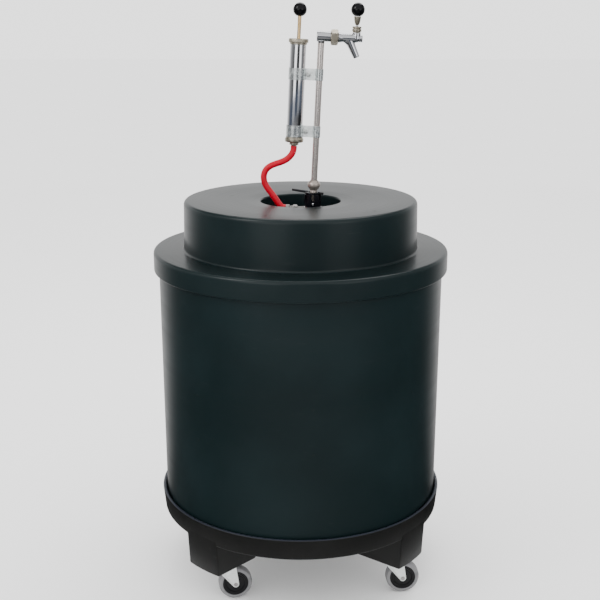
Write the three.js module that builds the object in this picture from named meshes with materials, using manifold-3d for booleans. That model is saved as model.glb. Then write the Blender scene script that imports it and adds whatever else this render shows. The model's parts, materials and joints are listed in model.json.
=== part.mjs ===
// Mobile keg cooler: an insulated barrel on a four-caster dolly, with a stepped lid, a half-barrel
// keg inside, a twist coupler, a leaning tap tower and a hand pump. Millimetres, +Z up, the origin
// on the floor under the barrel's centre, the faucet pouring toward +X.

import * as THREE from 'three';
import { mergeVertices } from 'three/addons/utils/BufferGeometryUtils.js';
import Module from 'manifold-3d';

const wasm = await Module();
wasm.setup();

// ---- Driving dimensions ---------------------------------------------------------------------

const GAP = 0.3; // clearance between two pieces that touch
const BIG = 36; // facets round a large turned piece
const MID = 16; // facets round a fist-sized turned piece
const SMALL = 12; // facets round a small turned piece
const WHEEL_FACETS = 20;
const PLATE_LENGTH = 84;
const PLATE_WIDTH = 57;
const KEG_FACETS = 24;

const DOLLY_TURN = 4.55; // degrees that the dolly is turned on the floor, about +Z
const RIM_RADIUS = 331; // dolly ring, outside at its rim
const RIM_TOP = 207;
const RIM_THICKNESS = 8;
const TRAY_UNDERSIDE = 160;
const TRAY_FLOOR = 167.7;
const RING_FOOT = 159;
const RING_FOOT_RADIUS = 326;

const POD_ANGLE = 47.5; // degrees either side of the dolly's front and back
const POD_WIDTH = 97;
const POD_INNER_END = 198;
const POD_FOOT = 84;
const POD_FOOT_RADIUS = 322;
const POD_WALL = 4.5;
const CASTER_MOUNT = 95; // height of the face that a caster plate bolts to

const CASTER_ANGLE = 45;
const CASTER_RADIUS = 272; // dolly centre to swivel axis
const WHEEL_RADIUS = 38.1;
const WHEEL_WIDTH = 24;
const HUB_RADIUS = 29;
const TRAIL = 27.2; // swivel axis to wheel axle
const AXLE_RADIUS = 4;
const LEG_THICKNESS = 2.5;
const LEG_INSIDE = 14.2;
const LEG_END_RADIUS = 7.5; // round end of a fork leg, about the axle
const CROWN_TOP = 82.5;
const CROWN_UNDERSIDE = 79.2;

const BARREL_FOOT_RADIUS = 320.5;
const BARREL_TOP_RADIUS = 322.7;
const BARREL_TOP = 765;
const SKIN = 5; // thickness of the outer mouldings
const LINER_SKIN = 4;
const LINER_RADIUS = 271; // inside of the ice space
const LINER_FLOOR = 214;
const RIM_LAND = 8; // depth of the liner's flange under the barrel's rim

const LID_FLANGE_RADIUS = 334;
const LID_FLANGE_FOOT = 731;
const LID_FLANGE_TOP = 777;
const LID_SKIRT_INSIDE = 325;
const TIER_FOOT_RADIUS = 265;
const TIER_TOP_RADIUS = 263;
const LID_TOP = 887;
const LID_DISH = 4.5; // how far the top falls toward its hole
const HOLE_RADIUS = 90;
const LID_CEILING = 838; // underside of the lid over the keg
const LID_INSIDE_RADIUS = 238;
const LID_LINER_SKIN = 3;

const KEG_X = 27.5; // keg and coupler axis
const KEG_BASE = LINER_FLOOR + GAP;
const KEG_RADIUS = 204.5;
const KEG_HEIGHT = 592;
const KEG_WALL = 2.2;
const KEG_WALL_RADIUS = 200;
const HAND_HOLE = [50, 558, 576]; // half its width, its foot and its top
const NECK_TOP = 584;
const NECK_BORE = 25.4;
const VALVE_TOP = 588;
const SPEAR_RADIUS = 8;
const SPEAR_FOOT = 32;

const PROBE_RADIUS = 6;
const COUPLER_TOP = 869;
const COLLAR_RADIUS = 18;
const COLLAR_BORE = 12;
const COLLAR_FOOT = COUPLER_TOP + GAP;
const COLLAR_SLOT_FOOT = 883;
const COLLAR_TOP = 896.4;
const COLLAR_SLOTS = 6;
const BAR_RING_FOOT = 897;
const BAR_RING_TOP = 901.5;
const BAR_RADIUS = 2.7;
const INLET_HEIGHT = 865.7;

const TOWER_LEAN = 2.7; // degrees toward +X
const TOWER_FOOT = [29.6, 0, 912]; // the tower's own origin, inside the union nut
const BEER_BORE = 5;
const ROD_RADIUS = 7.15;
const ROD_FOOT = 16.8;
const SHANK_HEIGHT = 330.4;
const SHANK_RADIUS = 11.15;
const SHANK_LEFT = -10;
const SHANK_RIGHT = 20.5;
const NUT_LEFT = 20.8;
const NUT_RIGHT = 36.2;
const NUT_RADIUS = 17;

const LEVER_X = 76;
const LEVER_PIVOT = 347;
const SPOUT_TOP = [62, 325];
const SPOUT_TIP = [79.2, 289];
const SPOUT_RADIUS = 7;
const KNOB_RADIUS = 15;
const LEVER_KNOB_HEIGHT = 390;

const PUMP_X = -49;
const PUMP_RADIUS = 17.4;
const PUMP_BORE = 16.2;
const PUMP_FOOT = 111.3;
const PUMP_TOP = 311.2;
const CAP_STEP = 316.4; // height where the cap's narrow foot meets its disc
const PUMP_CAP_TOP = 323.4;
const PUMP_ROD_RADIUS = 4;
const PUMP_KNOB_HEIGHT = 384.6;
const PISTON_FOOT = 160;
const PISTON_TOP = 172;
const OUTLET_FOOT = 91.5;
const OUTLET_TOP = 99.1;

const STRAP_HEIGHT = 25;
const STRAP_SHEET = 1.2;
const STRAP_PUMP_FACETS = 20;
const STRAP_ROD_FACETS = 12;
const STRAP_PUMP_BORE = PUMP_RADIUS + GAP;
const STRAP_ROD_BORE = ROD_RADIUS + GAP;
const STRAP_GAP = 1.8; // half the space between the two tabs
const STRAP_FEET = { lower: 111.9, upper: 236 };
const CLAMP_SCREW_X = -24.4;

const HOSE_RADIUS = 7.1;
const HOSE_SIDES = 8;
const HOSE_STEPS = 24;
// The hose's centre line, x and z, from the pump's outlet to the gas inlet.
const HOSE_ROUTE = [
  [-15.0, 1005.3], [-15.9, 996.6], [-18.6, 988.9], [-23.9, 981.6], [-32.3, 974.6], [-43.3, 969.3],
  [-56.0, 965.0], [-67.6, 960.1], [-76.9, 952.6], [-81.9, 942.2], [-82.6, 930.6], [-79.6, 919.5],
  [-73.4, 908.8], [-65.0, 897.4], [-57.0, 886.2], [-49.9, 875.6], [-43.2, 867.8], [-34.9, 865.8],
];

// ---- Finishes ---------------------------------------------------------------------------------

const finish = (color, roughness, metalness) => ({ color, roughness, metalness });

const MOULDED = finish(0x1c2528, 0.35, 0);
const TRAY_PLASTIC = finish(0x16181a, 0.55, 0);
const FOAM = finish(0xd9cf9f, 0.9, 0);
const STEEL = finish(0xb9b9b6, 0.35, 1);
const CHROME = finish(0xdcdee0, 0.1, 1);
const NICKEL = finish(0xc9c1ae, 0.25, 1);
const BRASS = finish(0xc9a566, 0.25, 1);
const ZINC = finish(0xbfc6c0, 0.35, 1);
const BLACK = finish(0x101012, 0.2, 0);
const TYRE = finish(0x6f7072, 0.6, 0);
const RED_VINYL = finish(0xc4202c, 0.25, 0);
const LEATHER = finish(0x6b4a2f, 0.7, 0);

// ---- Solids -----------------------------------------------------------------------------------

const radians = THREE.MathUtils.degToRad;

function circlePoints(cx, cy, radius, from, to, steps) {
  const points = [];
  for (let i = 0; i <= steps; i += 1) {
    const angle = radians(from + ((to - from) * i) / steps);
    points.push([cx + radius * Math.cos(angle), cy + radius * Math.sin(angle)]);
  }
  return points;
}

// A solid of revolution about +Z. The profile lists [radius, height], up the outside, and starts
// and ends on the axis.
function turned(profile, facets) {
  const geometry = new THREE.LatheGeometry(profile.map(([r, z]) => new THREE.Vector2(r, z)), facets);
  geometry.rotateX(Math.PI / 2);
  return geometry;
}

// The same for a ring, whose profile closes on itself.
function ring(profile, facets) {
  return turned([...profile, profile[0]], facets);
}

function tube(outer, bore, foot, top, facets) {
  return ring([[bore, foot], [outer, foot], [outer, top], [bore, top]], facets);
}

function rod(radius, foot, top, facets) {
  return turned([[0, foot], [radius, foot], [radius, top], [0, top]], facets);
}

// A box from its lowest to its highest corner.
function box(low, high) {
  const size = high.map((value, axis) => value - low[axis]);
  const geometry = new THREE.BoxGeometry(...size);
  geometry.translate(...high.map((value, axis) => (value + low[axis]) / 2));
  return geometry;
}

// A flat outline in X and Y, raised from foot to top, with its holes.
function raised(outline, foot, top, holes = []) {
  const shape = new THREE.Shape(outline.map(([x, y]) => new THREE.Vector2(x, y)));
  for (const hole of holes) {
    shape.holes.push(new THREE.Path(hole.map(([x, y]) => new THREE.Vector2(x, y))));
  }
  const geometry = new THREE.ExtrudeGeometry(shape, { depth: top - foot, bevelEnabled: false });
  geometry.translate(0, 0, foot);
  return geometry;
}

// Turns a solid made about +Z so that its own +Z points along +X or -Y.
const alongX = (geometry) => geometry.rotateY(Math.PI / 2);
const alongMinusY = (geometry) => geometry.rotateX(Math.PI / 2);

// A round bar between two points.
function bar(from, to, radius, facets) {
  const start = new THREE.Vector3(...from);
  const run = new THREE.Vector3(...to).sub(start);
  const geometry = rod(radius, 0, run.length(), facets);
  const turn = new THREE.Quaternion().setFromUnitVectors(new THREE.Vector3(0, 0, 1), run.normalize());
  geometry.applyQuaternion(turn);
  return geometry.translate(...from);
}

function toSolid(geometry) {
  const bare = geometry.clone();
  bare.deleteAttribute('normal');
  bare.deleteAttribute('uv');
  const merged = mergeVertices(bare, 1e-4);
  const index = merged.getIndex().array;
  const triangles = [];
  for (let i = 0; i < index.length; i += 3) {
    const [a, b, c] = [index[i], index[i + 1], index[i + 2]];
    if (a !== b && b !== c && c !== a) triangles.push(a, b, c);
  }
  return new wasm.Manifold(new wasm.Mesh({
    numProp: 3,
    vertProperties: new Float32Array(merged.getAttribute('position').array),
    triVerts: new Uint32Array(triangles),
  }));
}

function toGeometry(solid) {
  const mesh = solid.getMesh();
  const geometry = new THREE.BufferGeometry();
  geometry.setAttribute('position', new THREE.BufferAttribute(new Float32Array(mesh.vertProperties), 3));
  geometry.setIndex(new THREE.BufferAttribute(new Uint32Array(mesh.triVerts), 1));
  return geometry;
}

function joined(...pieces) {
  return toGeometry(pieces.map(toSolid).reduce((sum, piece) => sum.add(piece)));
}

function cut(piece, ...tools) {
  return toGeometry(tools.map(toSolid).reduce((rest, tool) => rest.subtract(tool), toSolid(piece)));
}

function common(piece, other) {
  return toGeometry(toSolid(piece).intersect(toSolid(other)));
}

// ---- Assembly ---------------------------------------------------------------------------------

const cooler = new THREE.Group();

function add(name, geometry, look, parent = cooler) {
  const material = new THREE.MeshStandardMaterial({
    color: look.color,
    roughness: look.roughness,
    metalness: look.metalness,
  });
  const mesh = new THREE.Mesh(geometry, material);
  mesh.name = name;
  parent.add(mesh);
  return mesh;
}

function subgroup(parent, position, turn = [0, 0, 0]) {
  const group = new THREE.Group();
  group.position.set(...position);
  group.rotation.set(...turn.map(radians));
  parent.add(group);
  return group;
}

// ---- Dolly ------------------------------------------------------------------------------------

function dollyTray() {
  const inside = RIM_RADIUS - RIM_THICKNESS;
  const lip = RIM_THICKNESS / 2;
  const pan = turned([
    [0, TRAY_UNDERSIDE], [314, TRAY_UNDERSIDE], [316, RING_FOOT], [RING_FOOT_RADIUS - 3, RING_FOOT],
    [RING_FOOT_RADIUS, RING_FOOT + 3],
    ...circlePoints(RIM_RADIUS - lip, RIM_TOP - lip, lip, 0, 180, 6),
    [inside - 0.5, 172], [inside - 2.5, TRAY_FLOOR], [0, TRAY_FLOOR],
  ], BIG);
  const draft = turned([
    [0, POD_FOOT], [POD_FOOT_RADIUS, POD_FOOT], [RING_FOOT_RADIUS, RING_FOOT + 3], [0, RING_FOOT + 3],
  ], BIG);
  const half = POD_WIDTH / 2;
  const recess = half - POD_WALL;
  let pods = null;
  for (const angle of [POD_ANGLE, -POD_ANGLE, 180 - POD_ANGLE, 180 + POD_ANGLE]) {
    // Each pod is cut from one block that points along -Y, then turned to its corner.
    const block = box([-half, -RIM_RADIUS - 5, POD_FOOT], [half, -POD_INNER_END, RING_FOOT + 3]);
    const hollow = box(
      [-recess, -POD_FOOT_RADIUS + POD_WALL + 1, POD_FOOT - 5],
      [recess, -POD_INNER_END - POD_WALL, CASTER_MOUNT],
    );
    const pod = cut(common(block.rotateZ(radians(angle)), draft), hollow.rotateZ(radians(angle)));
    pods = pods ? joined(pods, pod) : pod;
  }
  return joined(pan, pods);
}

function casterPlate() {
  const half = [PLATE_LENGTH / 2, PLATE_WIDTH / 2];
  const plate = box([-half[0], -half[1], CASTER_MOUNT - 3.3], [...half, CASTER_MOUNT - GAP]);
  const race = rod(20, CROWN_TOP + GAP, CASTER_MOUNT - 3, SMALL);
  const kingpin = turned([
    [0, 75.8], [6.5, 75.8], [8, 76.8], [8, CROWN_UNDERSIDE - GAP], [6, CROWN_UNDERSIDE - GAP],
    [6, CASTER_MOUNT - 3], [0, CASTER_MOUNT - 3],
  ], SMALL);
  return joined(plate, race, kingpin);
}

function casterFork() {
  const outside = LEG_INSIDE + LEG_THICKNESS;
  const crown = raised([
    [-19, -12], [-15, -outside], [29, -outside], [29, outside], [-15, outside], [-19, 12],
  ], CROWN_UNDERSIDE, CROWN_TOP);
  const top = CROWN_TOP - 0.5;
  // The leg's outline is drawn in X and Z, and its round end is tangent to both edges.
  const leg = [
    [-15, top],
    ...circlePoints(TRAIL, WHEEL_RADIUS, LEG_END_RADIUS, -145, 0, 7),
    [29, top],
  ];
  const left = raised(leg, LEG_INSIDE, outside).rotateX(Math.PI / 2);
  const right = raised(leg, -outside, -LEG_INSIDE).rotateX(Math.PI / 2);
  const axleHole = alongMinusY(rod(AXLE_RADIUS + GAP, -30, 30, SMALL));
  axleHole.translate(TRAIL, 0, WHEEL_RADIUS);
  const pinHole = rod(6 + GAP, 70, 90, SMALL);
  return cut(joined(crown, left, right), axleHole, pinHole);
}

function casterAxle() {
  const face = LEG_INSIDE + LEG_THICKNESS + GAP;
  return alongMinusY(turned([
    [0, -face - 3.5], [6.5, -face - 3.5], [6.5, -face], [AXLE_RADIUS, -face],
    [AXLE_RADIUS, face], [7, face], [7, face + 3], [0, face + 3],
  ], SMALL));
}

// A ring of the wheel, turned by half a facet so that it stands on a flat.
function wheelRing(profile) {
  return alongMinusY(ring(profile, WHEEL_FACETS).rotateZ(Math.PI / WHEEL_FACETS));
}

function wheelHub() {
  const bore = AXLE_RADIUS + GAP;
  const half = WHEEL_WIDTH / 2;
  return wheelRing([
    [bore, -half - 1.6], [9, -half - 1.6], [11, -half + 2], [HUB_RADIUS, -half],
    [HUB_RADIUS, half], [11, half - 2], [9, half + 1.6], [bore, half + 1.6],
  ]);
}

function wheelTyre() {
  const half = WHEEL_WIDTH / 2;
  const tread = WHEEL_RADIUS / Math.cos(Math.PI / WHEEL_FACETS);
  return wheelRing([
    [HUB_RADIUS + GAP, -half], [tread - 3.5, -half], [tread, -half + 5], [tread, half - 5],
    [tread - 3.5, half], [HUB_RADIUS + GAP, half],
  ]);
}

const CASTERS = [
  { corner: 'front_left', angle: -CASTER_ANGLE, yaw: 10 },
  { corner: 'front_right', angle: CASTER_ANGLE, yaw: 3 },
  { corner: 'rear_right', angle: 180 - CASTER_ANGLE, yaw: 6 },
  { corner: 'rear_left', angle: 180 + CASTER_ANGLE, yaw: -9 },
];

function buildDolly() {
  const dolly = subgroup(cooler, [0, 0, 0], [0, 0, DOLLY_TURN]);
  add('dolly_tray', dollyTray(), TRAY_PLASTIC, dolly);
  for (const { corner, angle, yaw } of CASTERS) {
    const around = radians(angle + DOLLY_TURN);
    const place = [CASTER_RADIUS * Math.sin(around), -CASTER_RADIUS * Math.cos(around), 0];
    const plate = subgroup(cooler, place, [0, 0, angle + DOLLY_TURN + 90]);
    add(`caster_plate_${corner}`, casterPlate(), ZINC, plate);
    const swivel = subgroup(cooler, place, [0, 0, yaw]);
    add(`caster_fork_${corner}`, casterFork(), ZINC, swivel);
    const wheel = subgroup(swivel, [TRAIL, 0, WHEEL_RADIUS]);
    add(`caster_axle_${corner}`, casterAxle(), ZINC, wheel);
    add(`wheel_hub_${corner}`, wheelHub(), BLACK, wheel);
    add(`wheel_tyre_${corner}`, wheelTyre(), TYRE, wheel);
  }
}

// ---- Barrel -----------------------------------------------------------------------------------

function buildBarrel() {
  const foot = TRAY_FLOOR + GAP;
  const floorTop = foot + SKIN + 1;
  const wallInside = BARREL_TOP_RADIUS - SKIN;
  const footInside = BARREL_FOOT_RADIUS - SKIN;
  add('barrel_shell', turned([
    [0, foot], [BARREL_FOOT_RADIUS - 7, foot], [BARREL_FOOT_RADIUS - 2, foot + 2],
    [BARREL_FOOT_RADIUS, foot + 7], [BARREL_TOP_RADIUS, BARREL_TOP - 2],
    [BARREL_TOP_RADIUS - 2, BARREL_TOP], [wallInside, BARREL_TOP], [footInside, floorTop], [0, floorTop],
  ], BIG), MOULDED);

  const flangeTop = BARREL_TOP - 4;
  const flangeFoot = BARREL_TOP - RIM_LAND;
  const linerOutside = LINER_RADIUS + LINER_SKIN;
  add('barrel_liner', turned([
    [0, LINER_FLOOR - LINER_SKIN], [LINER_RADIUS - 8, LINER_FLOOR - LINER_SKIN],
    [linerOutside, LINER_FLOOR + 8], [linerOutside, flangeFoot], [wallInside - 1, flangeFoot],
    [wallInside - 1, flangeTop], [LINER_RADIUS, flangeTop], [LINER_RADIUS, LINER_FLOOR + 10],
    [LINER_RADIUS - 10, LINER_FLOOR], [0, LINER_FLOOR],
  ], BIG), MOULDED);

  add('barrel_foam', turned([
    [0, floorTop + GAP], [footInside - 1, floorTop + GAP], [wallInside - 1, flangeFoot - GAP],
    [linerOutside + GAP, flangeFoot - GAP], [linerOutside + GAP, LINER_FLOOR + 7.5],
    [LINER_RADIUS - 7.8, LINER_FLOOR - LINER_SKIN - GAP], [0, LINER_FLOOR - LINER_SKIN - GAP],
  ], BIG), FOAM);
}

// ---- Lid --------------------------------------------------------------------------------------

function buildLid() {
  const lid = subgroup(cooler, [0, 0, 0]);
  const seat = BARREL_TOP + GAP;
  const inside = TIER_TOP_RADIUS - SKIN;
  const plateUnderside = LID_TOP - LID_DISH - SKIN;
  const holeOutside = HOLE_RADIUS + SKIN;
  add('lid_shell', ring([
    [LID_SKIRT_INSIDE, LID_FLANGE_FOOT], [LID_FLANGE_RADIUS - 4, LID_FLANGE_FOOT],
    [LID_FLANGE_RADIUS - 1, LID_FLANGE_FOOT + 1.5], [LID_FLANGE_RADIUS, LID_FLANGE_FOOT + 5],
    ...circlePoints(LID_FLANGE_RADIUS - 7, LID_FLANGE_TOP - 7, 7, 0, 90, 3),
    [TIER_FOOT_RADIUS + 4, LID_FLANGE_TOP], [TIER_FOOT_RADIUS, LID_FLANGE_TOP + 4],
    ...circlePoints(TIER_TOP_RADIUS - 9, LID_TOP - 9, 9, 0, 90, 3),
    [HOLE_RADIUS + 3, LID_TOP - LID_DISH], [HOLE_RADIUS, LID_TOP - LID_DISH - 3],
    [HOLE_RADIUS, LID_CEILING], [holeOutside, LID_CEILING], [holeOutside, plateUnderside],
    [inside, plateUnderside], [inside, seat], [LID_SKIRT_INSIDE, seat],
  ], BIG), MOULDED, lid);

  const linerOutside = LID_INSIDE_RADIUS + LID_LINER_SKIN;
  const linerTop = LID_CEILING + LID_LINER_SKIN;
  const edge = inside - GAP;
  add('lid_liner', ring([
    [holeOutside + GAP, LID_CEILING], [LID_INSIDE_RADIUS, LID_CEILING], [LID_INSIDE_RADIUS, seat],
    [edge, seat], [edge, seat + LID_LINER_SKIN], [linerOutside, seat + LID_LINER_SKIN],
    [linerOutside, linerTop], [holeOutside + GAP, linerTop],
  ], BIG), MOULDED, lid);

  add('lid_foam', ring([
    [linerOutside + GAP, seat + LID_LINER_SKIN + GAP], [edge, seat + LID_LINER_SKIN + GAP],
    [edge, plateUnderside - GAP], [holeOutside + GAP, plateUnderside - GAP],
    [holeOutside + GAP, linerTop + GAP], [linerOutside + GAP, linerTop + GAP],
  ], BIG), FOAM, lid);
}

// ---- Keg --------------------------------------------------------------------------------------

function kegShell() {
  const ribs = [210, 382];
  const ribPoints = ribs.flatMap((z) => [
    [KEG_WALL_RADIUS, z - 12], [KEG_RADIUS, z], [KEG_WALL_RADIUS, z + 12],
  ]);
  const inside = KEG_WALL_RADIUS - KEG_WALL;
  return turned([
    [0, 18], [120, 26], [178, 46], [KEG_WALL_RADIUS, 80], ...ribPoints, [KEG_WALL_RADIUS, 512],
    [178, 546], [120, 566], [32, 574], [32, NECK_TOP], [NECK_BORE, NECK_TOP], [NECK_BORE, 572],
    [119, 566 - KEG_WALL], [177, 545 - KEG_WALL], [inside, 511], [inside, 81],
    [177, 47 + KEG_WALL], [119.5, 26 + KEG_WALL], [0, 18 + KEG_WALL],
  ], KEG_FACETS);
}

// The chimes are rings round the vessel's two ends, with two hand holes in the top one.
function kegTopChime() {
  const bore = KEG_WALL_RADIUS + GAP;
  const band = ring([
    [bore, 500], [bore + KEG_WALL, 500], [bore + KEG_WALL, 580], [KEG_RADIUS, 584],
    [KEG_RADIUS, KEG_HEIGHT], [bore, KEG_HEIGHT],
  ], KEG_FACETS);
  const [halfWidth, handFoot, handTop] = HAND_HOLE;
  return cut(band, box([-halfWidth, -KEG_RADIUS - 9, handFoot], [halfWidth, KEG_RADIUS + 9, handTop]));
}

function kegBottomChime() {
  const bore = KEG_WALL_RADIUS + GAP;
  return ring([
    [bore, 0], [KEG_RADIUS, 0], [KEG_RADIUS, 8], [bore + KEG_WALL, 12], [bore + KEG_WALL, 92], [bore, 92],
  ], KEG_FACETS);
}

function buildKeg() {
  const keg = subgroup(cooler, [KEG_X, 0, KEG_BASE]);
  add('keg_shell', kegShell(), STEEL, keg);
  add('keg_top_chime', kegTopChime(), STEEL, keg);
  add('keg_bottom_chime', kegBottomChime(), STEEL, keg);
  const valveBore = PROBE_RADIUS + 0.6;
  add('keg_valve', tube(NECK_BORE - 0.4, valveBore, 562, VALVE_TOP, MID), STEEL, keg);
  add('keg_spear', tube(SPEAR_RADIUS, valveBore, SPEAR_FOOT, 562 - GAP, SMALL), STEEL, keg);
}

// ---- Coupler ----------------------------------------------------------------------------------

function couplerCollar() {
  const band = tube(COLLAR_RADIUS, COLLAR_BORE, COLLAR_FOOT, COLLAR_TOP, MID);
  const slots = [];
  for (let i = 0; i < COLLAR_SLOTS / 2; i += 1) {
    const reach = COLLAR_RADIUS + 2;
    const slot = box([-reach, -3.2, COLLAR_SLOT_FOOT], [reach, 3.2, COLLAR_TOP + 2]);
    slots.push(slot.rotateZ(radians(90 + (i * 360) / COLLAR_SLOTS)));
  }
  return cut(band, ...slots);
}

function couplerBar() {
  const hub = tube(16.5, 10.8, BAR_RING_FOOT, BAR_RING_TOP, MID);
  const left = bar([-11.6, 5.5, 900.8], [-46.5, 22, 903.6], BAR_RADIUS, 10);
  const right = bar([11.5, -5.9, 900], [23.5, -12, 899.4], BAR_RADIUS, 10);
  return joined(hub, left, right);
}

function buildCoupler() {
  const coupler = subgroup(cooler, [KEG_X, 0, 0]);
  const foot = KEG_BASE + VALVE_TOP + GAP;
  const bore = PROBE_RADIUS + 0.4;
  add('coupler_body', ring([
    [bore, foot], [24, foot], [24, foot + 7], [17, foot + 12], [16.5, 858], [20, 861],
    [20, COUPLER_TOP], [bore, COUPLER_TOP],
  ], MID), CHROME, coupler);
  add('coupler_probe', tube(PROBE_RADIUS, 4, KEG_BASE + 566, 879.5, SMALL), CHROME, coupler);
  add('coupler_collar', couplerCollar(), BLACK, coupler);
  add('coupler_bar', couplerBar(), BLACK, coupler);
  const screw = alongMinusY(turned([
    [0, COLLAR_RADIUS + GAP], [2.6, COLLAR_RADIUS + GAP], [2.6, 19.6], [1.6, 20.6], [0, 20.8],
  ], 12));
  add('collar_screw', screw.translate(0, 0, 876.7), CHROME, coupler);

  // The gas inlet runs from the coupler's flange toward -X: a stub, a hex nut and a ferrule.
  const inlet = subgroup(cooler, [0, 0, INLET_HEIGHT], [0, 0, 180]);
  const inletStart = -KEG_X + 20 + GAP;
  const stub = alongX(tube(3.2, 1.6, inletStart, 8, 12));
  const nut = alongX(tube(7, 1.6, 7, 21, 6));
  const ferrule = alongX(ring([
    [1.6, 20.5], [5, 20.5], [5, 24.5], [7, 25], [7.2, 33], [1.6, 33],
  ], SMALL));
  add('gas_inlet', joined(stub, nut, ferrule), CHROME, inlet);
}

// ---- Tap tower --------------------------------------------------------------------------------

function shankTube() {
  const outer = alongX(turned([
    [0, SHANK_LEFT], [SHANK_RADIUS - 1, SHANK_LEFT], [SHANK_RADIUS, SHANK_LEFT + 1],
    [SHANK_RADIUS, SHANK_RIGHT], [8.2, SHANK_RIGHT], [8.2, SHANK_LEFT + 5], [0, SHANK_LEFT + 5],
  ], MID));
  const feed = rod(BEER_BORE, -SHANK_RADIUS - 2, 0, SMALL);
  return cut(outer, feed).translate(0, 0, SHANK_HEIGHT);
}

function faucetBody() {
  const tail = alongX(turned([
    [0, 21], [7.5, 21], [7.5, 36.5], [11, 36.5], [10.4, 41], [9.2, 48], [9.8, 60], [9.8, 74], [8, 80.5],
    [7.7, 81], [7.7, 89.2], [7.2, 89.7], [0, 89.7],
  ], MID)).translate(0, 0, SHANK_HEIGHT - 1);
  const bonnetBoss = rod(9.2, 330, 341.5, MID).translate(LEVER_X, 0, 0);
  const [topX, topZ] = SPOUT_TOP;
  const [tipX, tipZ] = SPOUT_TIP;
  const spout = bar([topX, 0, topZ], [tipX, 0, tipZ], SPOUT_RADIUS, SMALL);
  const valveBore = alongX(rod(4.2, 15, 84, SMALL)).translate(0, 0, SHANK_HEIGHT - 1);
  const spoutBore = bar([topX + 1, 0, topZ + 2], [tipX + 2, 0, tipZ - 5], 4.2, SMALL);
  const lowSlot = box([63.5, -3, 324], [80, 3, 334]);
  const highSlot = box([67.5, -3, 333], [80, 3, 339.5]);
  const leverHole = rod(6, 335, 345, SMALL).translate(LEVER_X, 0, 0);
  return cut(joined(tail, bonnetBoss, spout), valveBore, spoutBore, lowSlot, highSlot, leverHole);
}

function faucetShaft() {
  const stem = alongX(rod(3.6, 30, 81, SMALL)).translate(0, 0, SHANK_HEIGHT - 1);
  return cut(stem, box([72.8, -1.9, 320], [79.2, 1.9, 340]));
}

function ball(radius, centre, bore, boreTop, facets) {
  const start = -Math.acos(bore.mouth / radius) * THREE.MathUtils.RAD2DEG;
  return turned([
    [0, boreTop], [bore.radius, boreTop], [bore.radius, centre + radius * Math.sin(radians(start))],
    ...circlePoints(0, centre, radius, start, 90, 8),
  ], facets);
}

function couplingNut() {
  const hexagon = alongX(rod(NUT_RADIUS, NUT_LEFT, NUT_RIGHT, 6));
  const bore = alongX(rod(7.9, NUT_LEFT - 2, NUT_RIGHT + 2, MID));
  return cut(hexagon, bore).translate(0, 0, SHANK_HEIGHT - 1);
}

function buildFaucet(tower) {
  add('coupling_nut', couplingNut(), NICKEL, tower);
  add('faucet_body', faucetBody(), CHROME, tower);
  add('faucet_shaft', faucetShaft(), CHROME, tower);
  const lever = subgroup(tower, [LEVER_X, 0, 0]);
  add('faucet_bonnet', ring([
    [6.3, 341.8], [8.2, 341.8], [8.2, 344], [10.1, 344.4], [10.1, 348.8], [8.6, 349.2], [8.6, 350.8],
    [9.7, 351.2], [9.7, 354.5], [9.2, 354.9], [7.4, 354.9], [6.3, 350],
  ], MID), NICKEL, lever);
  add('faucet_lever', turned([
    [0, 327.5], [1.6, 327.5], [2.2, 341.6], ...circlePoints(0, LEVER_PIVOT, 5.6, -60, 60, 6),
    [2.8, 372], [0, 372],
  ], SMALL), CHROME, lever);
  add('lever_ferrule', ring([
    [3.1, 357.8], [3.4, 357.8], [4.6, 359.6], [5.6, 362], [6.9, 368], [7.7, 374], [7.7, 376], [3.1, 376],
  ], MID), NICKEL, lever);
  const knobHole = { radius: 3.1, mouth: 6.3 };
  add('lever_knob', ball(KNOB_RADIUS, LEVER_KNOB_HEIGHT, knobHole, 374, MID), BLACK, lever);
}

// A sheet wrapped round the pump and the rod: its outline at a given distance from both bores.
// The radii grow so that the flats, not the corners, stand clear of the pump and the rod.
function strapOutline(offset) {
  const half = STRAP_GAP + offset;
  const pumpRadius = STRAP_PUMP_BORE / Math.cos(Math.PI / STRAP_PUMP_FACETS) + offset;
  const rodRadius = STRAP_ROD_BORE / Math.cos(Math.PI / STRAP_ROD_FACETS) + offset;
  const pumpAngle = Math.asin(half / pumpRadius) * THREE.MathUtils.RAD2DEG;
  const rodAngle = Math.asin(half / rodRadius) * THREE.MathUtils.RAD2DEG;
  return [
    ...circlePoints(PUMP_X, 0, pumpRadius, pumpAngle, 360 - pumpAngle, STRAP_PUMP_FACETS),
    ...circlePoints(0, 0, rodRadius, rodAngle - 180, 180 - rodAngle, STRAP_ROD_FACETS),
  ];
}

function buildClamps(tower) {
  const face = STRAP_GAP + STRAP_SHEET + GAP;
  for (const [place, foot] of Object.entries(STRAP_FEET)) {
    const middle = foot + STRAP_HEIGHT / 2;
    const strap = raised(strapOutline(STRAP_SHEET), foot, foot + STRAP_HEIGHT, [strapOutline(0)]);
    const hole = alongMinusY(rod(2.4, -9, 9, 12)).translate(CLAMP_SCREW_X, 0, middle);
    add(`clamp_strap_${place}`, cut(strap, hole), ZINC, tower);
    const screw = alongMinusY(turned([
      [0, -face - 4], [3.9, -face - 4], [3.9, -face], [2, -face], [2, face], [5.5, face],
      [5.2, face + 1.6], [3.4, face + 2.7], [0, face + 3],
    ], 12));
    add(`clamp_screw_${place}`, screw.translate(CLAMP_SCREW_X, 0, middle), ZINC, tower);
  }
}

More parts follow.
